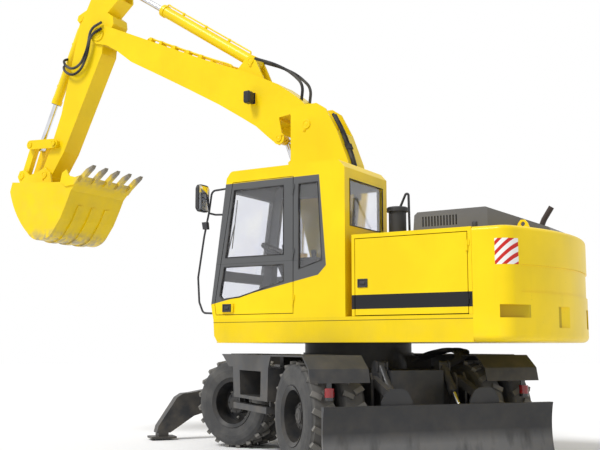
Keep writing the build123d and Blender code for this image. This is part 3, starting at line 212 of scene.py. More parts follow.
def enamel(name, colour, layers=None, paint=None, dirt=0.35, dirt_top=1.6, roughness=0.34):
    """Sprayed enamel with slight unevenness, rain streaks, scuffs and dust that thins out upwards.

    layers gives pairs of a mask and a colour, which go on over the first coat in their order.
    """
    finish = Finish(name, coat_weight=0.10, coat_roughness=0.12, specular_ior_level=0.22)
    cloudy = finish.noise(1.7, 4)
    streaks = finish.noise(9, 4, (1, 1, 0.12))
    scuffs = finish.noise(46, 5)
    coat = finish.blend(cloudy.ramp(0.35, 0.65), tone(colour, 0.94), tone(colour, 1.05))
    coat = finish.blend(streaks.ramp(0.6, 0.85) * 0.16, coat, tone(colour, 0.62))
    if layers:
        for mask, other in layers(finish, paint):
            coat = finish.blend(mask, coat, other)
    scratched = scuffs.ramp(0.70, 0.74) * cloudy.ramp(0.5, 0.62) * 0.35
    coat = finish.blend(scratched, coat, tone(colour, 0.45))
    dust = (1 - finish.z.ramp(0.1, dirt_top)) * finish.noise(6, 5).ramp(0.38, 0.7) * dirt
    coat = finish.blend(dust, coat, EARTH)
    finish.set(base_color=coat, roughness=roughness + 0.1 * cloudy + 0.35 * dust + 0.15 * scratched)
    finish.bump(finish.noise(260, 2) * 0.3 + streaks * 0.2, 0.0006, 0.35)
    return finish.material


def cab_layers(finish, paint):
    """The dark frame round the cab's windows and its lining."""
    x, y, z = finish.x, finish.y, finish.z
    above_sill = (z + 0.202 * x).ramp(1.879, 1.883)
    ahead_of_post = (x - 0.0827 * z).ramp(-0.4545, -0.4505)
    corner = (x + z).ramp(1.726, 1.730)
    below_roof = 1 - z.ramp(2.955, 2.959)
    window_frame = above_sill * ahead_of_post * corner * below_roof
    lining = y.between(0.285, 1.192) * x.between(-0.458, 2.0) * z.between(1.3, 3.052)
    return ((window_frame, paint.cab_frame), (lining, tone(paint.cab_frame, 1.3)),
            (abs(z - 2.08).ramp(0.004, 0.0) * window_frame * 0.7, tone(paint.cab_frame, 0.3)))


def stripe_layers(finish, paint):
    """The dark stripe along both side doors."""
    outer = abs(finish.y) > 1.2
    stripe = outer * finish.z.between(1.56, 1.70) * finish.x.between(-1.86, -0.57)
    return ((stripe, paint.stripe),)


def sill_groove_shade_layers(finish, paint):
    """Painted shade in the groove along the body above its sill."""
    # Painted shade: the groove is filled with the body colour darkened almost to black
    groove = (abs(finish.z - 1.452) < 0.004) * (abs(finish.y) > 1.236)
    return ((groove * 0.85, tone(paint.body, 0.12)),)


def hatch_and_pocket_shade_layers(finish, paint):
    """A generic red and white hatch on both rear corners of the counterweight, and painted shade darkening
    its pockets.
    """
    panel = (abs(finish.y) > 1.02) * finish.x.between(-2.24, -2.06) * finish.z.between(1.94, 2.18)
    band = ((finish.x + finish.z) * 11).fraction() > 0.55
    y = abs(finish.y)
    # Painted shade: the pocket by each rear corner and the one in the middle of the back are darkened
    corner = abs(y - 0.838 * finish.x - 2.918) < 0.012
    corner = corner * finish.z.between(1.456, 1.574) * finish.x.between(-2.40, -2.06)
    middle = (finish.x > -2.43) * (finish.x < -2.3) * finish.z.between(1.371, 1.569) * (y < 0.56)
    return ((panel, (0.82, 0.80, 0.78)), (panel * band, (0.55, 0.02, 0.015)),
            ((corner + middle) * 0.6, tone(paint.body, 0.3)))


def lamp_layers(finish, paint):
    """The work lamp's dark housing on the upper boom."""
    lamp = finish.x.between(1.28, 1.39) * (finish.y > 0.196) * finish.z.between(4.14, 4.31)
    return ((lamp, (0.03, 0.03, 0.033)),)


def exhaust_layers(finish, paint):
    """Scaled steel on the exhaust pipe that stands on the hood."""
    near = abs(finish.y + 0.3) < 0.052
    proud = (finish.z - 0.38 * finish.x) > 3.255
    return ((near * proud * (finish.x < -1.99), (0.06, 0.045, 0.038)),)


def blade_layers(finish, paint):
    """The lower part of the dozer blade, painted lighter in patches as a highlight where the curved edge
    faces up to the light.
    """
    # Painted highlight: the blade below about 0.42 m is made lighter grey, broken up by noise
    lip_highlight = (1 - finish.z.ramp(0.30, 0.42)) * finish.noise(8, 4, (1, 1, 0.3)).ramp(0.2, 0.5)
    return ((lip_highlight * 0.85, (0.14, 0.14, 0.142)),)


def bucket_layers(finish, paint):
    """Worn steel on the teeth, the lip and the inside of the bucket."""
    worn = finish.noise(14, 5).ramp(0.35, 0.6)
    teeth = 1 - finish.x.ramp(3.72, 3.80)
    lip = (1 - finish.x.ramp(3.86, 3.98)) * worn
    heel = (1 - finish.z.ramp(2.64, 2.80)) * worn
    return ((heel * 0.8, SCOURED_STEEL), (lip * 0.6, SCOURED_STEEL),
            (teeth * 0.9, (0.20, 0.19, 0.18)))


def rubber(name, colour, centre=None, axis=None):
    """Matt rubber with dust in it; a tyre also has rings moulded round its wall."""
    finish = Finish(name, specular_ior_level=0.3)
    patches = finish.noise(5, 5)
    dust = patches.ramp(0.42, 0.72) * 0.45
    height = finish.noise(120, 3) * 0.4
    if centre is not None:
        arm = finish.add("ShaderNodeVectorMath", {"operation": "SUBTRACT"},
                         {0: finish.place, 1: centre})
        along = finish.dot(arm, axis)
        whole = finish.dot(arm, arm)
        radius = (whole - along * along).root()
        wall = radius.between(0.29, 0.47)
        height = height + wall * ((radius * 36).fraction() > 0.82) * 1.0
        dust = dust * 0.6 + radius.ramp(0.488, 0.515) * 0.75
    finish.set(base_color=finish.blend(dust, colour, (0.23, 0.22, 0.20)),
               roughness=0.78 + 0.15 * patches)
    finish.bump(height, 0.0015, 0.6)
    return finish.material


def metal(name, colour, roughness, grain=90):
    """Bare or plated metal with fine drawn lines and faint stains."""
    finish = Finish(name, metallic=1.0)
    stains = finish.noise(7, 4)
    lines = finish.noise(grain, 2, (1, 1, 0.08))
    finish.set(base_color=finish.blend(stains.ramp(0.5, 0.8) * 0.5, colour, tone(colour, 0.6)),
               roughness=roughness + 0.12 * stains)
    finish.bump(lines, 0.0004, 0.25)
    return finish.material


def plastic(name, colour, roughness=0.5, grain=400):
    """Moulded plastic with a leather-like grain."""
    finish = Finish(name)
    shade = finish.noise(4, 3)
    finish.set(base_color=finish.blend(shade.ramp(0.4, 0.7), colour, tone(colour, 1.35)),
               roughness=roughness + 0.14 * shade)
    cells = finish.add("ShaderNodeTexVoronoi", {}, {"Vector": finish.place, "Scale": grain})
    finish.bump(cells, 0.0005, 0.4)
    return finish.material


def window_glass(name, colour):
    """Tinted safety glass with a little dust along it."""
    finish = Finish(name, transmission_weight=0.97, ior=1.45, coat_weight=0.15)
    dust = finish.noise(3, 4)
    finish.set(base_color=finish.blend(dust.ramp(0.4, 0.75), colour, tone(colour, 1.08)),
               roughness=0.03 + 0.05 * dust)
    return finish.material


def woven(name, colour):
    """Seat cloth: two crossing sets of threads."""
    finish = Finish(name, sheen_weight=0.4, sheen_roughness=0.5)
    warp = abs((finish.y * 210).fraction() - 0.5)
    weft = abs(((finish.z + finish.x) * 210).fraction() - 0.5)
    fuzz = finish.noise(30, 4)
    finish.set(base_color=finish.blend(warp * 0.9 + fuzz * 0.3, tone(colour, 1.5), tone(colour, 0.7)),
               roughness=0.82 + 0.1 * fuzz)
    finish.bump(warp + weft, 0.0012, 0.6)
    return finish.material


def lens(name, colour, low=-NO_LIMIT, high=NO_LIMIT):
    """A ribbed lamp lens between two heights, with a dark housing past them."""
    finish = Finish(name, transmission_weight=0.1, ior=1.5, coat_weight=0.4)
    ribs = abs((finish.z * 90).fraction() - 0.5)
    glow = finish.blend(ribs, tone(colour, 0.8), tone(colour, 1.2))
    housing = 1 - finish.z.between(low, high)
    finish.set(base_color=finish.blend(housing, glow, (0.02, 0.02, 0.022)), roughness=0.14 + 0.1 * ribs)
    finish.bump(ribs, 0.001, 0.5)
    return finish.material


def clear():
    bpy.ops.object.select_all(action="DESELECT")


def begin(kind, **settings):
    """Add a primitive with nothing else chosen."""
    clear()
    getattr(bpy.ops.mesh, "primitive_" + kind + "_add")(**settings)
    piece = bpy.context.object
    apply_place(piece)
    return piece


def slab(size, place=(0, 0, 0)):
    """A block of a given size about a place."""
    piece = begin("cube", size=1)
    piece.scale, piece.location = size, place
    apply_place(piece)
    return piece


def apply_place(piece):
    """Move a piece's place, turn and size into its mesh."""
    choose(piece)
    bpy.ops.object.transform_apply(location=True, rotation=True, scale=True)


def choose(*pieces):
    clear()
    for piece in pieces:
        piece.select_set(True)
    bpy.context.view_layer.objects.active = pieces[0]


def pick(piece, test):
    """Edit a piece with only those faces chosen that pass the test."""
    choose(piece)
    bpy.ops.object.mode_set(mode="EDIT")
    bpy.ops.mesh.select_mode(type="FACE")
    bpy.ops.mesh.select_all(action="DESELECT")
    bpy.ops.object.mode_set(mode="OBJECT")
    for face in piece.data.polygons:
        face.select = test(face)
    bpy.ops.object.mode_set(mode="EDIT")


def joined(*pieces):
    """Make one object of several, named and placed as the first."""
    choose(*pieces)
    if len(pieces) > 1:
        bpy.ops.object.join()
    return bpy.context.object


def upward(face):
    return face.normal.z > 0.9 and face.center.z > 0


def off_centre(face):
    return face.center.xy.length


def top_of(piece):
    return max(point.co.z for point in piece.data.vertices)


def lift_chosen(inset, height):
    """Inset the chosen faces, extrude them and leave edit mode."""
    bpy.ops.mesh.inset(thickness=inset)
    bpy.ops.mesh.extrude_region_move(TRANSFORM_OT_translate={"value": (0, 0, height)})
    bpy.ops.object.mode_set(mode="OBJECT")


def raise_top(piece, inset, height):
    """Raise the highest of the faces that look up."""
    pick(piece, lambda face: upward(face) and face.center.z > top_of(piece) - 1e-5)
    lift_chosen(inset, height)


def raise_boss(piece, inset, height):
    """Raise the sunk face in the middle of a pin head again."""
    pick(piece, lambda face: upward(face) and off_centre(face) < 1e-4)
    lift_chosen(inset, height)


def raise_middle(piece, inset, height):
    """Raise the upward face that is lowest and nearest the middle."""
    middle = min((face for face in piece.data.polygons if face.normal.z > 0.9),
                 key=lambda face: off_centre(face) + face.center.z).index
    pick(piece, lambda face: face.index == middle)
    lift_chosen(inset, height)


def shift_faces(piece, test, move):
    """Move the faces that pass the test."""
    pick(piece, test)
    bpy.ops.transform.translate(value=move)
    bpy.ops.object.mode_set(mode="OBJECT")


def bolt_head(radius, depth, base, inset=0.003, rise=0.001):
    """A six-sided head with a stepped top."""
    head = begin("cylinder", vertices=6, radius=radius, depth=depth, location=(0, 0, base))
    raise_top(head, inset, rise)
    return head


def bevelled(piece, width, segments=2):
    """Round a piece's edges and shade it smooth between them."""
    choose(piece)
    bevel = piece.modifiers.new("bevel", "BEVEL")
    bevel.width, bevel.segments, bevel.limit_method = width, segments, "ANGLE"
    bpy.ops.object.modifier_apply(modifier="bevel")
    bpy.ops.object.shade_smooth_by_angle(angle=math.radians(35))
    return piece


def hand_over(piece, name, body, material):
    """Name a finished piece, give it its material and let it ride on its body."""
    piece.name = name
    piece.data.name = name
    piece.data.materials.clear()
    piece.data.materials.append(material)
    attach(piece, body)


def repeat(model, places):
    """Copies of a model at each place, each with its own mesh, joined as one piece."""
    copies = []
    for place in places:
        choose(model)
        bpy.ops.object.duplicate()
        copied = bpy.context.object
        copied.matrix_world = place
        apply_place(copied)
        copies.append(copied)
    bpy.data.objects.remove(model)
    return joined(*copies)


def pipe(route, radius, closed=False):
    """A round bar along points; its corners are eased by the curve."""
    clear()
    bpy.ops.curve.primitive_nurbs_path_add(radius=1)
    curve = bpy.context.object
    curve.data.splines.clear()
    line = curve.data.splines.new("POLY" if closed else "NURBS")
    line.points.add(len(route) - 1)
    for point, place in zip(line.points, route):
        point.co = (*place, 1)
    line.use_cyclic_u = closed
    if not closed:
        line.order_u = 3
        line.use_endpoint_u = True
    curve.data.dimensions = "3D"
    curve.data.bevel_depth = radius
    curve.data.bevel_resolution = 3
    curve.data.resolution_u = 6
    curve.data.use_fill_caps = not closed
    bpy.ops.object.convert(target="MESH")
    piece = bpy.context.object
    apply_place(piece)
    bpy.ops.object.shade_smooth_by_angle(angle=math.radians(50))
    return piece


def facing(direction, place, spin=0.0):
    """A matrix that takes local +Z to a direction at a place."""
    turn = Vector(direction).to_track_quat("Z", "Y").to_matrix().to_4x4()
    return Matrix.Translation(place) @ turn @ Matrix.Rotation(spin, 4, "Z")


def round_circle(index, count, radius):
    """The place of one of several bolts on a circle about local Z."""
    return Matrix.Rotation(math.tau * index / count, 4, "Z") @ Matrix.Translation((radius, 0, 0))


def wheel_axes():
    """Each wheel's name, a place on its axis and its direction outwards."""
    # How far out from the axle's middle a front wheel's joint lies
    kingpin = 0.62
    for joint in frame["record"]["behaviour"]["joints"]:
        if not joint["child"].startswith("wheel_"):
            continue
        name = joint["child"].removeprefix("wheel_")
        outwards = Vector(joint["axis"]) * (1 if name.endswith("left") else -1)
        start = Vector(joint["pos_m"]) - outwards * (kingpin if name.startswith("front") else 0)
        yield name, start, outwards


class EXCAVATOR_OT_paint(bpy.types.Operator):
    """Give every solid its finish"""
    bl_idname = "excavator.paint"
    bl_label = "Paint and rubber"

    def execute(self, context):
        paint = context.scene.excavator_paint
        materials.update({
            "body": enamel("Body enamel", paint.body),
            "cab": enamel("Cab enamel", paint.body, cab_layers, paint),
            "panels": enamel("Side panel enamel", paint.body, stripe_layers, paint),
            # The sill's enamel is the body colour darkened: painted shade on the sill, which faces partly
            # down
            "sills_painted_shade": enamel("Sill enamel with painted shade", tone(paint.body, 0.94), sill_groove_shade_layers, paint),
            "counterweight": enamel("Counterweight enamel", paint.body, hatch_and_pocket_shade_layers, paint),
            "upper_boom": enamel("Upper boom enamel", paint.body, lamp_layers),
            "bucket": enamel("Bucket enamel", paint.body, bucket_layers, dirt_top=4.2),
            "undercarriage": enamel("Undercarriage enamel", paint.undercarriage, dirt=0.24,
                                    roughness=0.46),
            "hood": enamel("Hood enamel", paint.hood, exhaust_layers, roughness=0.38),
            "rims": enamel("Rim enamel", tone(paint.undercarriage, 0.7), dirt=0.16, dirt_top=1.1),
            "blade": enamel("Blade enamel", tone(paint.undercarriage, 0.8), blade_layers, dirt=0.10,
                            dirt_top=1.0),
            "chrome": metal("Hard chrome", (0.72, 0.73, 0.76), 0.08),
            "steel": metal("Zinc plated steel", (0.42, 0.41, 0.38), 0.34),
            "hose": rubber("Hose rubber", (0.022, 0.022, 0.024)),
            "plastic": plastic("Black plastic", (0.022, 0.022, 0.025)),
            "glass": window_glass("Tinted glass", paint.glass),
            "mirror": metal("Mirror glass", (0.78, 0.8, 0.84), 0.03, 8),
            "lamp_red": lens("Red lamp lens", (0.30, 0.008, 0.012), 0.728, 0.812),
            "lamp_clear": lens("Clear lamp lens", (0.8, 0.82, 0.85)),
            "cloth": woven("Woven seat cloth", paint.cloth),
        })
        # The solids whose finish differs from that of their slot
        finish_of = {
            "upper_frame": "sills_painted_shade", "cab_shell": "cab", "cab_door": "cab", "body_panels": "panels",
            "side_door_left": "panels", "side_door_right": "panels", "counterweight": "counterweight",
            "upper_boom": "upper_boom", "bucket": "bucket", "blade": "blade", "engine_hood": "hood",
            "tail_lamps": "lamp_red", "pre_cleaner": "plastic", "rails": "plastic",
            "cab_controls": "plastic", "cab_seat": "cloth", "engine": "undercarriage",
        }
        by_slot = {
            "body_yellow": "body", "chassis_grey": "undercarriage", "hood_grey": "hood",
            "chrome_rod": "chrome", "black_rubber": "hose", "black_plastic": "plastic",
            "tinted_glass": "glass", "lamp_red": "lamp_red", "seat_fabric": "cloth",
        }
        tyres = {}
        for name, start, outwards in wheel_axes():
            tyres["tyres_" + name] = rubber("Tyre rubber " + name.replace("_", " "), paint.tyre,
                                            tuple(start), tuple(outwards))
        slots = {part["node"]: part["material_slot"] for part in frame["record"]["subparts"]}
        for name, node in frame["nodes"].items():
            if name in tyres:
                chosen = tyres[name]
            elif name.startswith("rims_"):
                chosen = materials["rims"]
            else:
                chosen = materials[finish_of.get(name) or by_slot[slots[name]]]
            for slot in node.material_slots:
                slot.material = chosen
        return {"FINISHED"}


class EXCAVATOR_OT_wheel_fittings(bpy.types.Operator):
    """Wheel nuts and hub covers on the four twin wheels"""
    bl_idname = "excavator.wheel_fittings"
    bl_label = "Wheel fittings"

    def execute(self, context):
        sizes = context.scene.excavator_fittings
        disc_face, hub_face = 0.9955, 1.1215
        cover_bolts, cover_circle = 8, 0.108
        for name, start, outwards in wheel_axes():
            square = facing(outwards, start).to_3x3()

            def ring(count, radius, distance):
                for index in range(count):
                    angle = math.tau * index / count
                    spoke = square @ Vector((math.cos(angle), math.sin(angle), 0)) * radius
                    yield facing(outwards, start + outwards * distance + spoke, angle)

            nut = bolt_head(sizes.nut_radius, 0.02, 0.009, sizes.nut_radius * 0.38, 0.014)
            bevelled(nut, 0.0015)
            nuts = repeat(nut, ring(sizes.nut_count, sizes.nut_circle, disc_face))
            hand_over(nuts, "wheel_nuts_" + name, "wheel_" + name, materials["steel"])

            cover = begin("cylinder", vertices=64, radius=0.122, depth=0.012, location=(0, 0, 0.005))
            for inset, height in ((0.034, 0.008), (0.012, 0.012), (0.022, 0.004), (0.028, -0.004)):
                raise_top(cover, inset, height)
            bevelled(cover, 0.003, 3)
            circle = [round_circle(index, cover_bolts, cover_circle) for index in range(cover_bolts)]
            bolts = repeat(bolt_head(0.0095, 0.02, 0.01, rise=0.002), circle)
            hub = repeat(joined(cover, bolts), [facing(outwards, start + outwards * hub_face)])
            hand_over(hub, "hub_cover_" + name, "wheel_" + name, materials["rims"])
        return {"FINISHED"}


class EXCAVATOR_OT_pin_heads(bpy.types.Operator):
    """Pin heads with their keeper plates at the pivots of the digging gear"""
    bl_idname = "excavator.pin_heads"
    bl_label = "Pin heads"

    def execute(self, context):
        pins = (
            # name, body, x, z, side face, radius, direction of the keeper plate in degrees
            ("boom_foot", "upper_structure", 0.300, 1.750, 0.245, 0.052, 200),
            ("boom_cylinder_base", "upper_structure", 0.860, 1.420, 0.245, 0.042, 200),
            ("boom_joint", "lower_boom", 0.560, 3.800, 0.205, 0.055, 250),
            ("adjust_base", "lower_boom", 0.420, 2.300, 0.205, 0.045, 90),
            ("boom_cylinder_rod", "lower_boom", 0.800, 3.050, 0.205, 0.042, 150),
            ("boom_nose", "upper_boom", 3.950, 5.520, 0.189, 0.055, 210),
            ("adjust_rod", "upper_boom", 0.955, 3.680, 0.189, 0.040, 40),
            ("arm_cylinder_base", "upper_boom", 1.430, 4.740, 0.104, 0.044, 270),
            ("arm_cylinder_rod", "arm", 3.720, 6.240, 0.145, 0.042, 290),
            ("rocker_pin", "arm", 4.710, 4.050, 0.220, 0.040, 0),
            ("bucket_cylinder_base", "arm", 4.360, 5.850, 0.096, 0.040, 250),
            ("link_pin", "rocker", 5.180, 4.080, 0.210, 0.040, 180),
            ("arm_tip", "bucket", 4.900, 3.620, 0.180, 0.048, 250),
            ("bucket_pin", "bucket", 5.350, 3.650, 0.180, 0.042, 250),
        )
        # A hose or the cab passes close to these, and no plate fits on the last two
        flat_pins = ("boom_foot", "boom_nose")
        bare_pins = (*flat_pins, "rocker_pin", "link_pin")
        for name, body, x, z, face, radius, turn in pins:
            thin = 0.007 if name in flat_pins else 0.012
            head = begin("cylinder", vertices=40, radius=radius, depth=thin,
                         location=(0, 0, thin / 2 - 0.001))
            raise_top(head, radius * 0.3, -thin * 0.3)
            raise_boss(head, radius * 0.2, 0.002)
            bevelled(head, 0.0015)
            pieces = [head]
            if name not in bare_pins:
                keeper = slab((radius * 0.9, 0.034, 0.009), (radius * 1.15, 0, 0.004))
                raise_top(keeper, 0.003, 0.001)
                bevelled(keeper, 0.0015)
                bolt_place = Matrix.Translation((radius * 1.3, 0, 0))
                pieces += [keeper, repeat(bolt_head(0.009, 0.018, 0.008), [bolt_place])]
            places = [facing((0, side, 0), (x, side * face, z), math.radians(turn) * side)
                      for side in MIRROR]
            heads = repeat(joined(*pieces), places)
            hand_over(heads, "pin_heads_" + name, body, materials["body"])
        return {"FINISHED"}


class EXCAVATOR_OT_oil_pipes(bpy.types.Operator):
    """Oil pipes with their clamps along the barrels, gland bolts and rod wipers"""
    bl_idname = "excavator.oil_pipes"
    bl_label = "Oil pipes"

    def execute(self, context):
        radius = context.scene.excavator_fittings.pipe_radius
        gland_step, gland_bolts = 0.010, 8
        barrels = (
            # name, body, base pin, rod pin, y, barrel radius, rod radius, barrel length, side of its pipe
            ("arm", "arm_barrel", (1.430, 4.740), (3.720, 6.240), 0.0, 0.074, 0.040, 1.79, 1),
            ("bucket", "bucket_barrel", (4.360, 5.850), (5.180, 4.080), 0.0, 0.066, 0.038, 1.28, 1),
            ("boom_left", "boom_barrels", (0.860, 1.420), (0.800, 3.050), 0.143, 0.062, 0.033, 0.885, -1),
            ("boom_right", "boom_barrels", (0.860, 1.420), (0.800, 3.050), -0.143, 0.062, 0.033, 0.885, -1),
        )
        for name, body, base, end, y, outside, rod, reach, hand in barrels:
            base, end = Vector((base[0], y, base[1])), Vector((end[0], y, end[1]))
            way = (end - base).normalized()
            out = way.cross(Vector((0, 1, 0))) * hand
            lift = outside + 2.2 * radius
            inlet, outlet = 0.13, reach - 0.03

            def at(along, away):
                return base + way * along + out * away

            line = pipe([at(inlet, outside - 0.005), at(inlet, lift), at(0.19, lift), at(0.30, lift),
                         at(reach - 0.22, lift), at(reach - 0.10, lift), at(outlet, lift + gland_step),
                         at(outlet, outside)], radius)
            hand_over(line, "oil_pipe_" + name, body, materials["body"])

            clamp = slab((0.03, 2.6 * radius, lift - outside + radius * 1.4))
            raise_top(clamp, 0.003, 0.003)
            bevelled(clamp, 0.002)
            turn = Matrix((way, out.cross(way), out)).transposed().to_4x4()
            middle = outside + (lift - outside + radius * 1.4) / 2 - 0.004
            clamps = repeat(clamp, [Matrix.Translation(at(reach * share, middle)) @ turn
                                    for share in (0.3, 0.55, 0.8)])
            hand_over(clamps, "pipe_clamps_" + name, body, materials["body"])

            circle = (outside + gland_step + rod) / 2 + 0.004
            bolts = repeat(bolt_head(0.008, 0.014, 0.005),
                           [facing(way, at(reach, 0)) @ round_circle(index, gland_bolts, circle)
                            for index in range(gland_bolts)])
            hand_over(bolts, "gland_bolts_" + name, body, materials["steel"])

            wiper = begin("torus", major_radius=rod + 0.0055, minor_radius=0.0035, major_segments=40,
                          minor_segments=10)
            shift_faces(wiper, lambda face: face.center.z > 0.0025, (0, 0, 0.004))
            choose(wiper)
            bpy.ops.object.shade_smooth_by_angle(angle=math.radians(60))
            wipers = repeat(wiper, [facing(way, at(reach + 0.001, 0))])
            hand_over(wipers, "rod_wiper_" + name, body, materials["hose"])
        return {"FINISHED"}


class EXCAVATOR_OT_boom_pipes(bpy.types.Operator):
    """Painted oil pipes along the top of the upper boom, and the hoses behind the pedestal"""
    bl_idname = "excavator.boom_pipes"
    bl_label = "Boom pipes and blade hoses"

    def execute(self, context):
        radius = context.scene.excavator_fittings.pipe_radius
        # The boom's top edge, and the direction away from it
        foot, knee, nose = Vector((1.70, 0, 4.688)), Vector((2.12, 0, 4.860)), Vector((3.08, 0, 5.2915))
        away = Vector((-0.4, 0, 0.92))
        stand, sunk, clamp_lift = away * 0.036, away * 0.01, away * 0.022
        pieces = []
        for side in (-0.135, -0.105, 0.105, 0.135):
            across = Vector((0, side, 0))
            raised = [place + across + stand for place in
                      (foot, foot.lerp(knee, 0.3), knee, nose.lerp(knee, 0.1), nose)]
            pieces.append(pipe([foot + across - sunk, *raised, nose + across - sunk], radius))
        along = nose - knee
        slope = Matrix.Rotation(-math.atan2(along.z, along.x), 4, "Y")
        for share in (0.06, 0.28, 0.52, 0.76, 0.94):
            for side in MIRROR:
                clamp = slab((0.045, 0.085, 0.05))
                raise_top(clamp, 0.006, 0.004)
                bevelled(clamp, 0.003)
                place = knee + along * share + Vector((0, 0.12 * side, 0)) + clamp_lift
                pieces.append(repeat(clamp, [Matrix.Translation(place) @ slope]))
        hand_over(joined(*pieces), "oil_pipes_upper_boom", "upper_boom", materials["body"])

        hose_radius, hose_count, hose_pitch, over = 0.017, 5, 0.042, 0.010
        hoses = []
        for index in range(hose_count):
            out = hose_pitch * index
            lift = over * (index % 2)
            # From the pedestal over the edge of the right deck and back into the frame
            route = ((-0.47 + out * 0.5, -0.36 - out * 0.5, 1.00), (-0.56, -0.46 - out, 1.09),
                     (-0.74, -0.58 - out, 1.155 + lift), (-0.95 - out * 0.3, -0.64 - out, 1.160 + lift),
                     (-1.12 - out * 0.3, -0.62 - out * 0.6, 1.12), (-1.20, -0.50 - out * 0.4, 1.02),
                     (-1.16 + out * 0.4, -0.28, 0.90))
            hoses.append(pipe([CHASSIS_TURN @ Vector(place) for place in route], hose_radius))
        hand_over(joined(*hoses), "blade_hoses", "chassis", materials["hose"])
        return {"FINISHED"}


class EXCAVATOR_OT_cab_trim(bpy.types.Operator):
    """Window seals, wiper and mirror glass of the cab"""
    bl_idname = "excavator.cab_trim"
    bl_label = "Cab trim"

    def execute(self, context):
        radius = context.scene.excavator_fittings.seal_radius
        outer, inner, middle = 1.240, 0.262, 0.751
        side_windows = (
            # name, body, y, corners (x, z)
            ("door_upper", "cab_door", outer,
             ((0.225, 2.15), (0.965, 2.15), (0.855, 2.88), (0.225, 2.88))),
            ("door_lower", "cab_door", outer,
             ((0.225, 2.045), (0.98, 2.045), (1.035, 1.74), (1.0, 1.7), (0.78, 1.72), (0.225, 1.87))),
            ("rear_side", "upper_structure", outer,
             ((0.04, 2.88), (0.04, 1.99), (-0.235, 2.07), (-0.19, 2.88))),
            ("right_side", "upper_structure", inner,
             ((-0.4, 2.0), (0.95, 2.0), (0.83, 2.9), (-0.4, 2.9))),
        )
        for name, body, y, corners in side_windows:
            inset = math.copysign(0.002, y - middle)
            seal = pipe([(x, y - inset, z) for x, z in corners], radius, True)
            hand_over(seal, "seal_" + name, body, materials["hose"])

        def front_x(z):
            return 1.150 - (z - 1.64) * 0.1377

        def back_x(z):
            return -0.505

        end_windows = (
            # name, lowest and highest edge, half the width, x at a height
            ("windscreen", 2.02, 2.88, 0.415, front_x),
            ("lower_screen", 1.665, 1.915, 0.415, front_x),
            ("rear_window", 2.42, 2.90, 0.38, back_x),
        )
        for name, low, high, half, at in end_windows:
            corners = ((-half, low), (half, low), (half, high), (-half, high))
            seal = pipe([(at(z), middle + y, z) for y, z in corners], radius, True)
            hand_over(seal, "seal_" + name, "upper_structure", materials["hose"])

        hub_y, hub_z, tip_y, tip_z = 1.02, 1.97, 0.97, 2.55
        arm = pipe([(front_x(hub_z) + 0.02, hub_y, hub_z), (front_x(2.0) + 0.035, hub_y, 2.0),
                    (front_x(2.3) + 0.03, 1.0, 2.3), (front_x(tip_z) + 0.012, tip_y, tip_z)], 0.007)
        blade = pipe([(front_x(z) + 0.012, tip_y + (z - tip_z) * 0.02, z)
                      for z in (2.28, 2.4, 2.6, 2.82)], 0.006)
        motor = begin("cylinder", vertices=24, radius=0.03, depth=0.03, location=(0, 0, 0.012))
        raise_top(motor, 0.008, 0.01)
        bevelled(motor, 0.003)
        cover = repeat(motor, [facing((1, 0, 0.13), (front_x(hub_z), hub_y, hub_z))])
        hand_over(joined(arm, blade, cover), "windscreen_wiper", "upper_structure", materials["plastic"])

        mirror = slab((0.17, 0.27, 0.006))
        raise_top(mirror, 0.012, 0.002)
        bevelled(mirror, 0.0015)
        glass = repeat(mirror, [facing((-1, 0, 0), (1.204, 1.325, 2.81))])
        hand_over(glass, "mirror_glass", "upper_structure", materials["mirror"])
        return {"FINISHED"}


class EXCAVATOR_OT_body_trim(bpy.types.Operator):
    """Latches, filler cap, hood backing, cooling slats and lamp lens"""
    bl_idname = "excavator.body_trim"
    bl_label = "Body trim"

    def execute(self, context):
        latches = (
            # name, body, place, outward direction
            ("left_door", "side_door_left", (-0.70, 1.240, 1.815), (0, 1, 0)),
            ("right_door", "side_door_right", (-0.70, -1.240, 1.815), (0, -1, 0)),
            ("cab_door", "cab_door", (0.925, 1.262, 1.605), (0, 1, 0)),
        )
        for name, body, place, outwards in latches:
            latch = slab((0.11, 0.085, 0.012))
            raise_top(latch, 0.010, -0.008)
            raise_middle(latch, 0.018, 0.009)
            bevelled(latch, 0.003)
            fitted = repeat(latch, [facing(outwards, Vector(place) + Vector(outwards) * 0.003)])
            hand_over(fitted, "latch_" + name, body, materials["plastic"])

        cap = begin("cylinder", vertices=32, radius=0.062, depth=0.03, location=(0, 0, 0.014))
        raise_top(cap, 0.012, 0.008)
        raise_top(cap, 0.022, 0.01)
        bevelled(cap, 0.003)
        filler = repeat(cap, [Matrix.Translation((0.30, -0.95, 2.150))])
        hand_over(filler, "filler_cap", "upper_structure", materials["plastic"])

        slat = slab((0.62, 0.016, 0.010))
        shift_faces(slat, upward, (0, 0.008, 0))
        bevelled(slat, 0.002)
        slat_count, slat_pitch, lowest = 11, 0.034, 1.82
        slats = repeat(slat, [facing((0, -1, 0), (-1.20, -1.243, lowest + slat_pitch * index))
                              for index in range(slat_count)])
        hand_over(slats, "cooling_slats", "side_door_right", materials["plastic"])

        backing = slab((0.42, 0.13, 0.004))
        raise_top(backing, 0.008, 0.002)
        behind = repeat(backing, [facing((0, side, 0), (-1.385, side * 0.866, 2.43))
                                  for side in MIRROR])
        hand_over(behind, "louvre_backing", "engine_hood", materials["plastic"])

        catch = slab((0.05, 0.09, 0.02))
        raise_top(catch, 0.008, 0.006)
        bevelled(catch, 0.003)
        catches = repeat(catch, [facing((0, side, 0), (-1.75, side * 0.902, 2.35)) for side in MIRROR])
        hand_over(catches, "hood_catches", "engine_hood", materials["plastic"])

        glass = slab((0.096, 0.122, 0.006))
        raise_top(glass, 0.012, 0.003)
        bevelled(glass, 0.002)
        lamp = repeat(glass, [facing((1, 0, 0), (1.371, 0.261, 4.225))])
        hand_over(lamp, "work_lamp_lens", "upper_boom", materials["lamp_clear"])
        return {"FINISHED"}


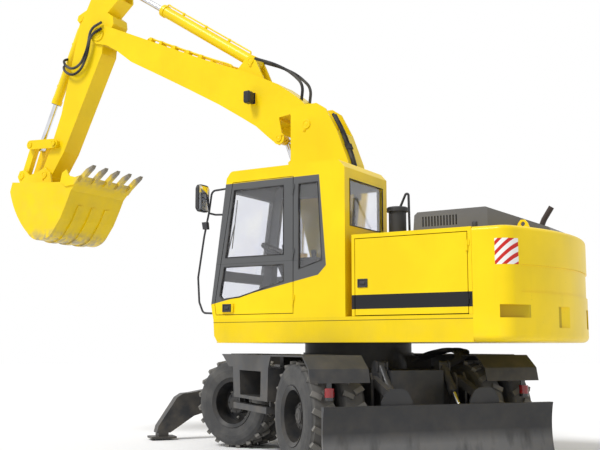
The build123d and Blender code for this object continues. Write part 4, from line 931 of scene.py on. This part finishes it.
class EXCAVATOR_OT_deck_treads(bpy.types.Operator):
    """Raised tread bars on the decks and the lower steps"""
    bl_idname = "excavator.deck_treads"
    bl_label = "Deck treads"

    def execute(self, context):
        rows = (
            # name, first x, spacing, count, middle y, length of a bar, height of the surface
            ("deck", -1.30, 0.085, 28, 1.02, 0.34, 1.110),
            ("step", -0.38, 0.07, 15, 1.18, 0.10, 0.570),
        )
        for name, first, spacing, count, middle, length, height in rows:
            bar = slab((0.016, length, 0.008))
            raise_top(bar, 0.003, 0.002)
            bevelled(bar, 0.0015, 1)
            places = [Matrix.Translation((first + spacing * index, side * middle, height))
                      for side in MIRROR for index in range(count)]
            bars = repeat(bar, [CHASSIS_TURN @ place for place in places])
            hand_over(bars, "tread_bars_" + name, "chassis", materials["undercarriage"])
        return {"FINISHED"}


class EXCAVATOR_OT_seat(bpy.types.Operator):
    """The padded seat: cushion, backrest and headrest under woven cloth"""
    bl_idname = "excavator.seat"
    bl_label = "Seat"

    def execute(self, context):
        swell = context.scene.excavator_fittings.cushion_swell
        pads = (
            # name, centre, size, lean back in degrees
            ("seat_cushion", (0.11, 0.751, 1.930), (0.47, 0.47, 0.10), 0),
            ("seat_backrest", (-0.110, 0.751, 2.265), (0.09, 0.44, 0.56), -5.8),
            ("seat_headrest", (-0.152, 0.751, 2.650), (0.065, 0.24, 0.16), -3),
        )
        for name, centre, size, lean in pads:
            pad = slab(size)
            bevelled(pad, 0.024, 3)
            choose(pad)
            remesh = pad.modifiers.new("even", "REMESH")
            remesh.mode, remesh.voxel_size = "VOXEL", 0.011
            bpy.ops.object.modifier_apply(modifier="even")
            stuff(pad, swell)
            sew_channels(pad, size)
            smooth = pad.modifiers.new("smooth", "SUBSURF")
            smooth.levels = smooth.render_levels = 1
            bpy.ops.object.modifier_apply(modifier="smooth")
            bpy.ops.object.shade_smooth()
            tilt = Matrix.Rotation(math.radians(lean), 4, "Y")
            placed = repeat(pad, [Matrix.Translation(centre) @ tilt])
            hand_over(placed, name, "upper_structure", materials["cloth"])
            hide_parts("cab_seat")
        return {"FINISHED"}


def stuff(pad, limit):
    """Blow up a pad with cloth and pressure, no point further than the limit, and apply it."""
    choose(pad)
    before = [point.co.copy() for point in pad.data.vertices]
    bpy.ops.object.modifier_add(type="CLOTH")
    cloth = pad.modifiers["Cloth"]
    cloth.settings.use_pressure = True
    cloth.settings.uniform_pressure_force = 4
    cloth.settings.effector_weights.gravity = 0
    for moment in range(1, 21):
        bpy.context.scene.frame_set(moment)
    bpy.ops.object.modifier_apply(modifier="Cloth")
    bpy.context.scene.frame_set(1)
    for point, start in zip(pad.data.vertices, before):
        move = point.co - start
        if move.length > limit:
            point.co = start + move * (limit / move.length)


def sew_channels(pad, size):
    """Press two sewn channels into both broad faces of a pad."""
    thin, across = size.index(min(size)), 1
    deepest, spread = 0.006, 0.008
    for point in pad.data.vertices:
        for channel in (-0.28, 0.28):
            distance = abs(point.co[across] - channel * size[across])
            depth = deepest * math.exp(-(distance / spread) ** 2)
            point.co[thin] -= math.copysign(depth, point.co[thin])


class EXCAVATOR_OT_studio(bpy.types.Operator):
    """Floor, light and camera"""
    bl_idname = "excavator.studio"
    bl_label = "Studio"

    def execute(self, context):
        studio = context.scene.excavator_studio
        clear()
        bpy.ops.mesh.primitive_circle_add(vertices=64, radius=60, fill_type="NGON")
        floor = context.object
        floor.name = "studio_floor"
        ground = Finish("Studio floor", roughness=0.9)
        ground.set(base_color=ground.blend(ground.noise(0.4, 2), (0.86, 0.86, 0.87),
                                           (0.90, 0.90, 0.90)))
        floor.data.materials.append(ground.material)

        world = bpy.data.worlds.new("Studio sky")
        context.scene.world = world
        world.use_nodes = True
        tree = world.node_tree
        background = tree.nodes["Background"]
        background.inputs["Color"].default_value = (1, 1, 1, 1)
        path = tree.nodes.new("ShaderNodeLightPath")
        # What is seen, mirrored or looked through shows a white sky
        seen = path.outputs["Is Camera Ray"]
        for ray in ("Is Glossy Ray", "Is Transmission Ray"):
            larger = tree.nodes.new("ShaderNodeMath")
            larger.operation = "MAXIMUM"
            tree.links.new(seen, larger.inputs[0])
            tree.links.new(path.outputs[ray], larger.inputs[1])
            seen = larger.outputs[0]
        strength = tree.nodes.new("ShaderNodeMapRange")
        tree.links.new(seen, strength.inputs[0])
        strength.inputs[3].default_value = studio.fill
        strength.inputs[4].default_value = 1.0
        tree.links.new(strength.outputs[0], background.inputs["Strength"])

        sun_place, sunlight_way = (3, 8, 10), Vector((-0.28, -0.72, -0.95))
        clear()
        bpy.ops.object.light_add(type="SUN", location=sun_place)
        sun = context.object
        sun.data.energy = studio.sun
        sun.data.angle = math.radians(18)
        sun.rotation_mode = "QUATERNION"
        sun.rotation_quaternion = sunlight_way.to_track_quat("-Z", "Y")

        # The viewpoint of the photograph, fitted to edges of known size
        eye = (-4.883, 9.383, 1.179)
        yaw, pitch = math.radians(-58.94), math.radians(7.58)
        ahead = Vector((math.cos(pitch) * math.cos(yaw), math.cos(pitch) * math.sin(yaw),
                        math.sin(pitch)))
        clear()
        bpy.ops.object.camera_add(location=eye)
        camera = context.object
        camera.rotation_mode = "QUATERNION"
        camera.rotation_quaternion = ahead.to_track_quat("-Z", "Y")
        camera.data.sensor_width = 36
        camera.data.lens = studio.lens
        camera.data.clip_end = 200
        context.scene.camera = camera
        context.scene.view_settings.view_transform = "Standard"
        return {"FINISHED"}


STEPS = (EXCAVATOR_OT_paint, EXCAVATOR_OT_wheel_fittings, EXCAVATOR_OT_pin_heads,
         EXCAVATOR_OT_oil_pipes, EXCAVATOR_OT_boom_pipes, EXCAVATOR_OT_cab_trim,
         EXCAVATOR_OT_body_trim, EXCAVATOR_OT_deck_treads, EXCAVATOR_OT_seat, EXCAVATOR_OT_studio)


class EXCAVATOR_PT_panel(bpy.types.Panel):
    """The steps in order"""
    bl_idname = "EXCAVATOR_PT_panel"
    bl_label = "Wheeled excavator"
    bl_space_type = "VIEW_3D"
    bl_region_type = "UI"
    bl_category = "Excavator"

    def draw(self, context):
        for step in STEPS:
            self.layout.operator(step.bl_idname)


SETTINGS = (("excavator_paint", PaintSettings), ("excavator_fittings", FittingSettings),
            ("excavator_studio", StudioSettings))


def register():
    for name, group in SETTINGS:
        bpy.utils.register_class(group)
        setattr(bpy.types.Scene, name, PointerProperty(type=group))
    for item in (*STEPS, EXCAVATOR_PT_panel):
        bpy.utils.register_class(item)


def unregister():
    for item in (EXCAVATOR_PT_panel, *reversed(STEPS)):
        bpy.utils.unregister_class(item)
    for name, group in reversed(SETTINGS):
        delattr(bpy.types.Scene, name)
        bpy.utils.unregister_class(group)


def main():
    register()
    for step in STEPS:
        family, name = step.bl_idname.split(".")
        getattr(getattr(bpy.ops, family), name)()


if __name__ == "__main__":
    main()
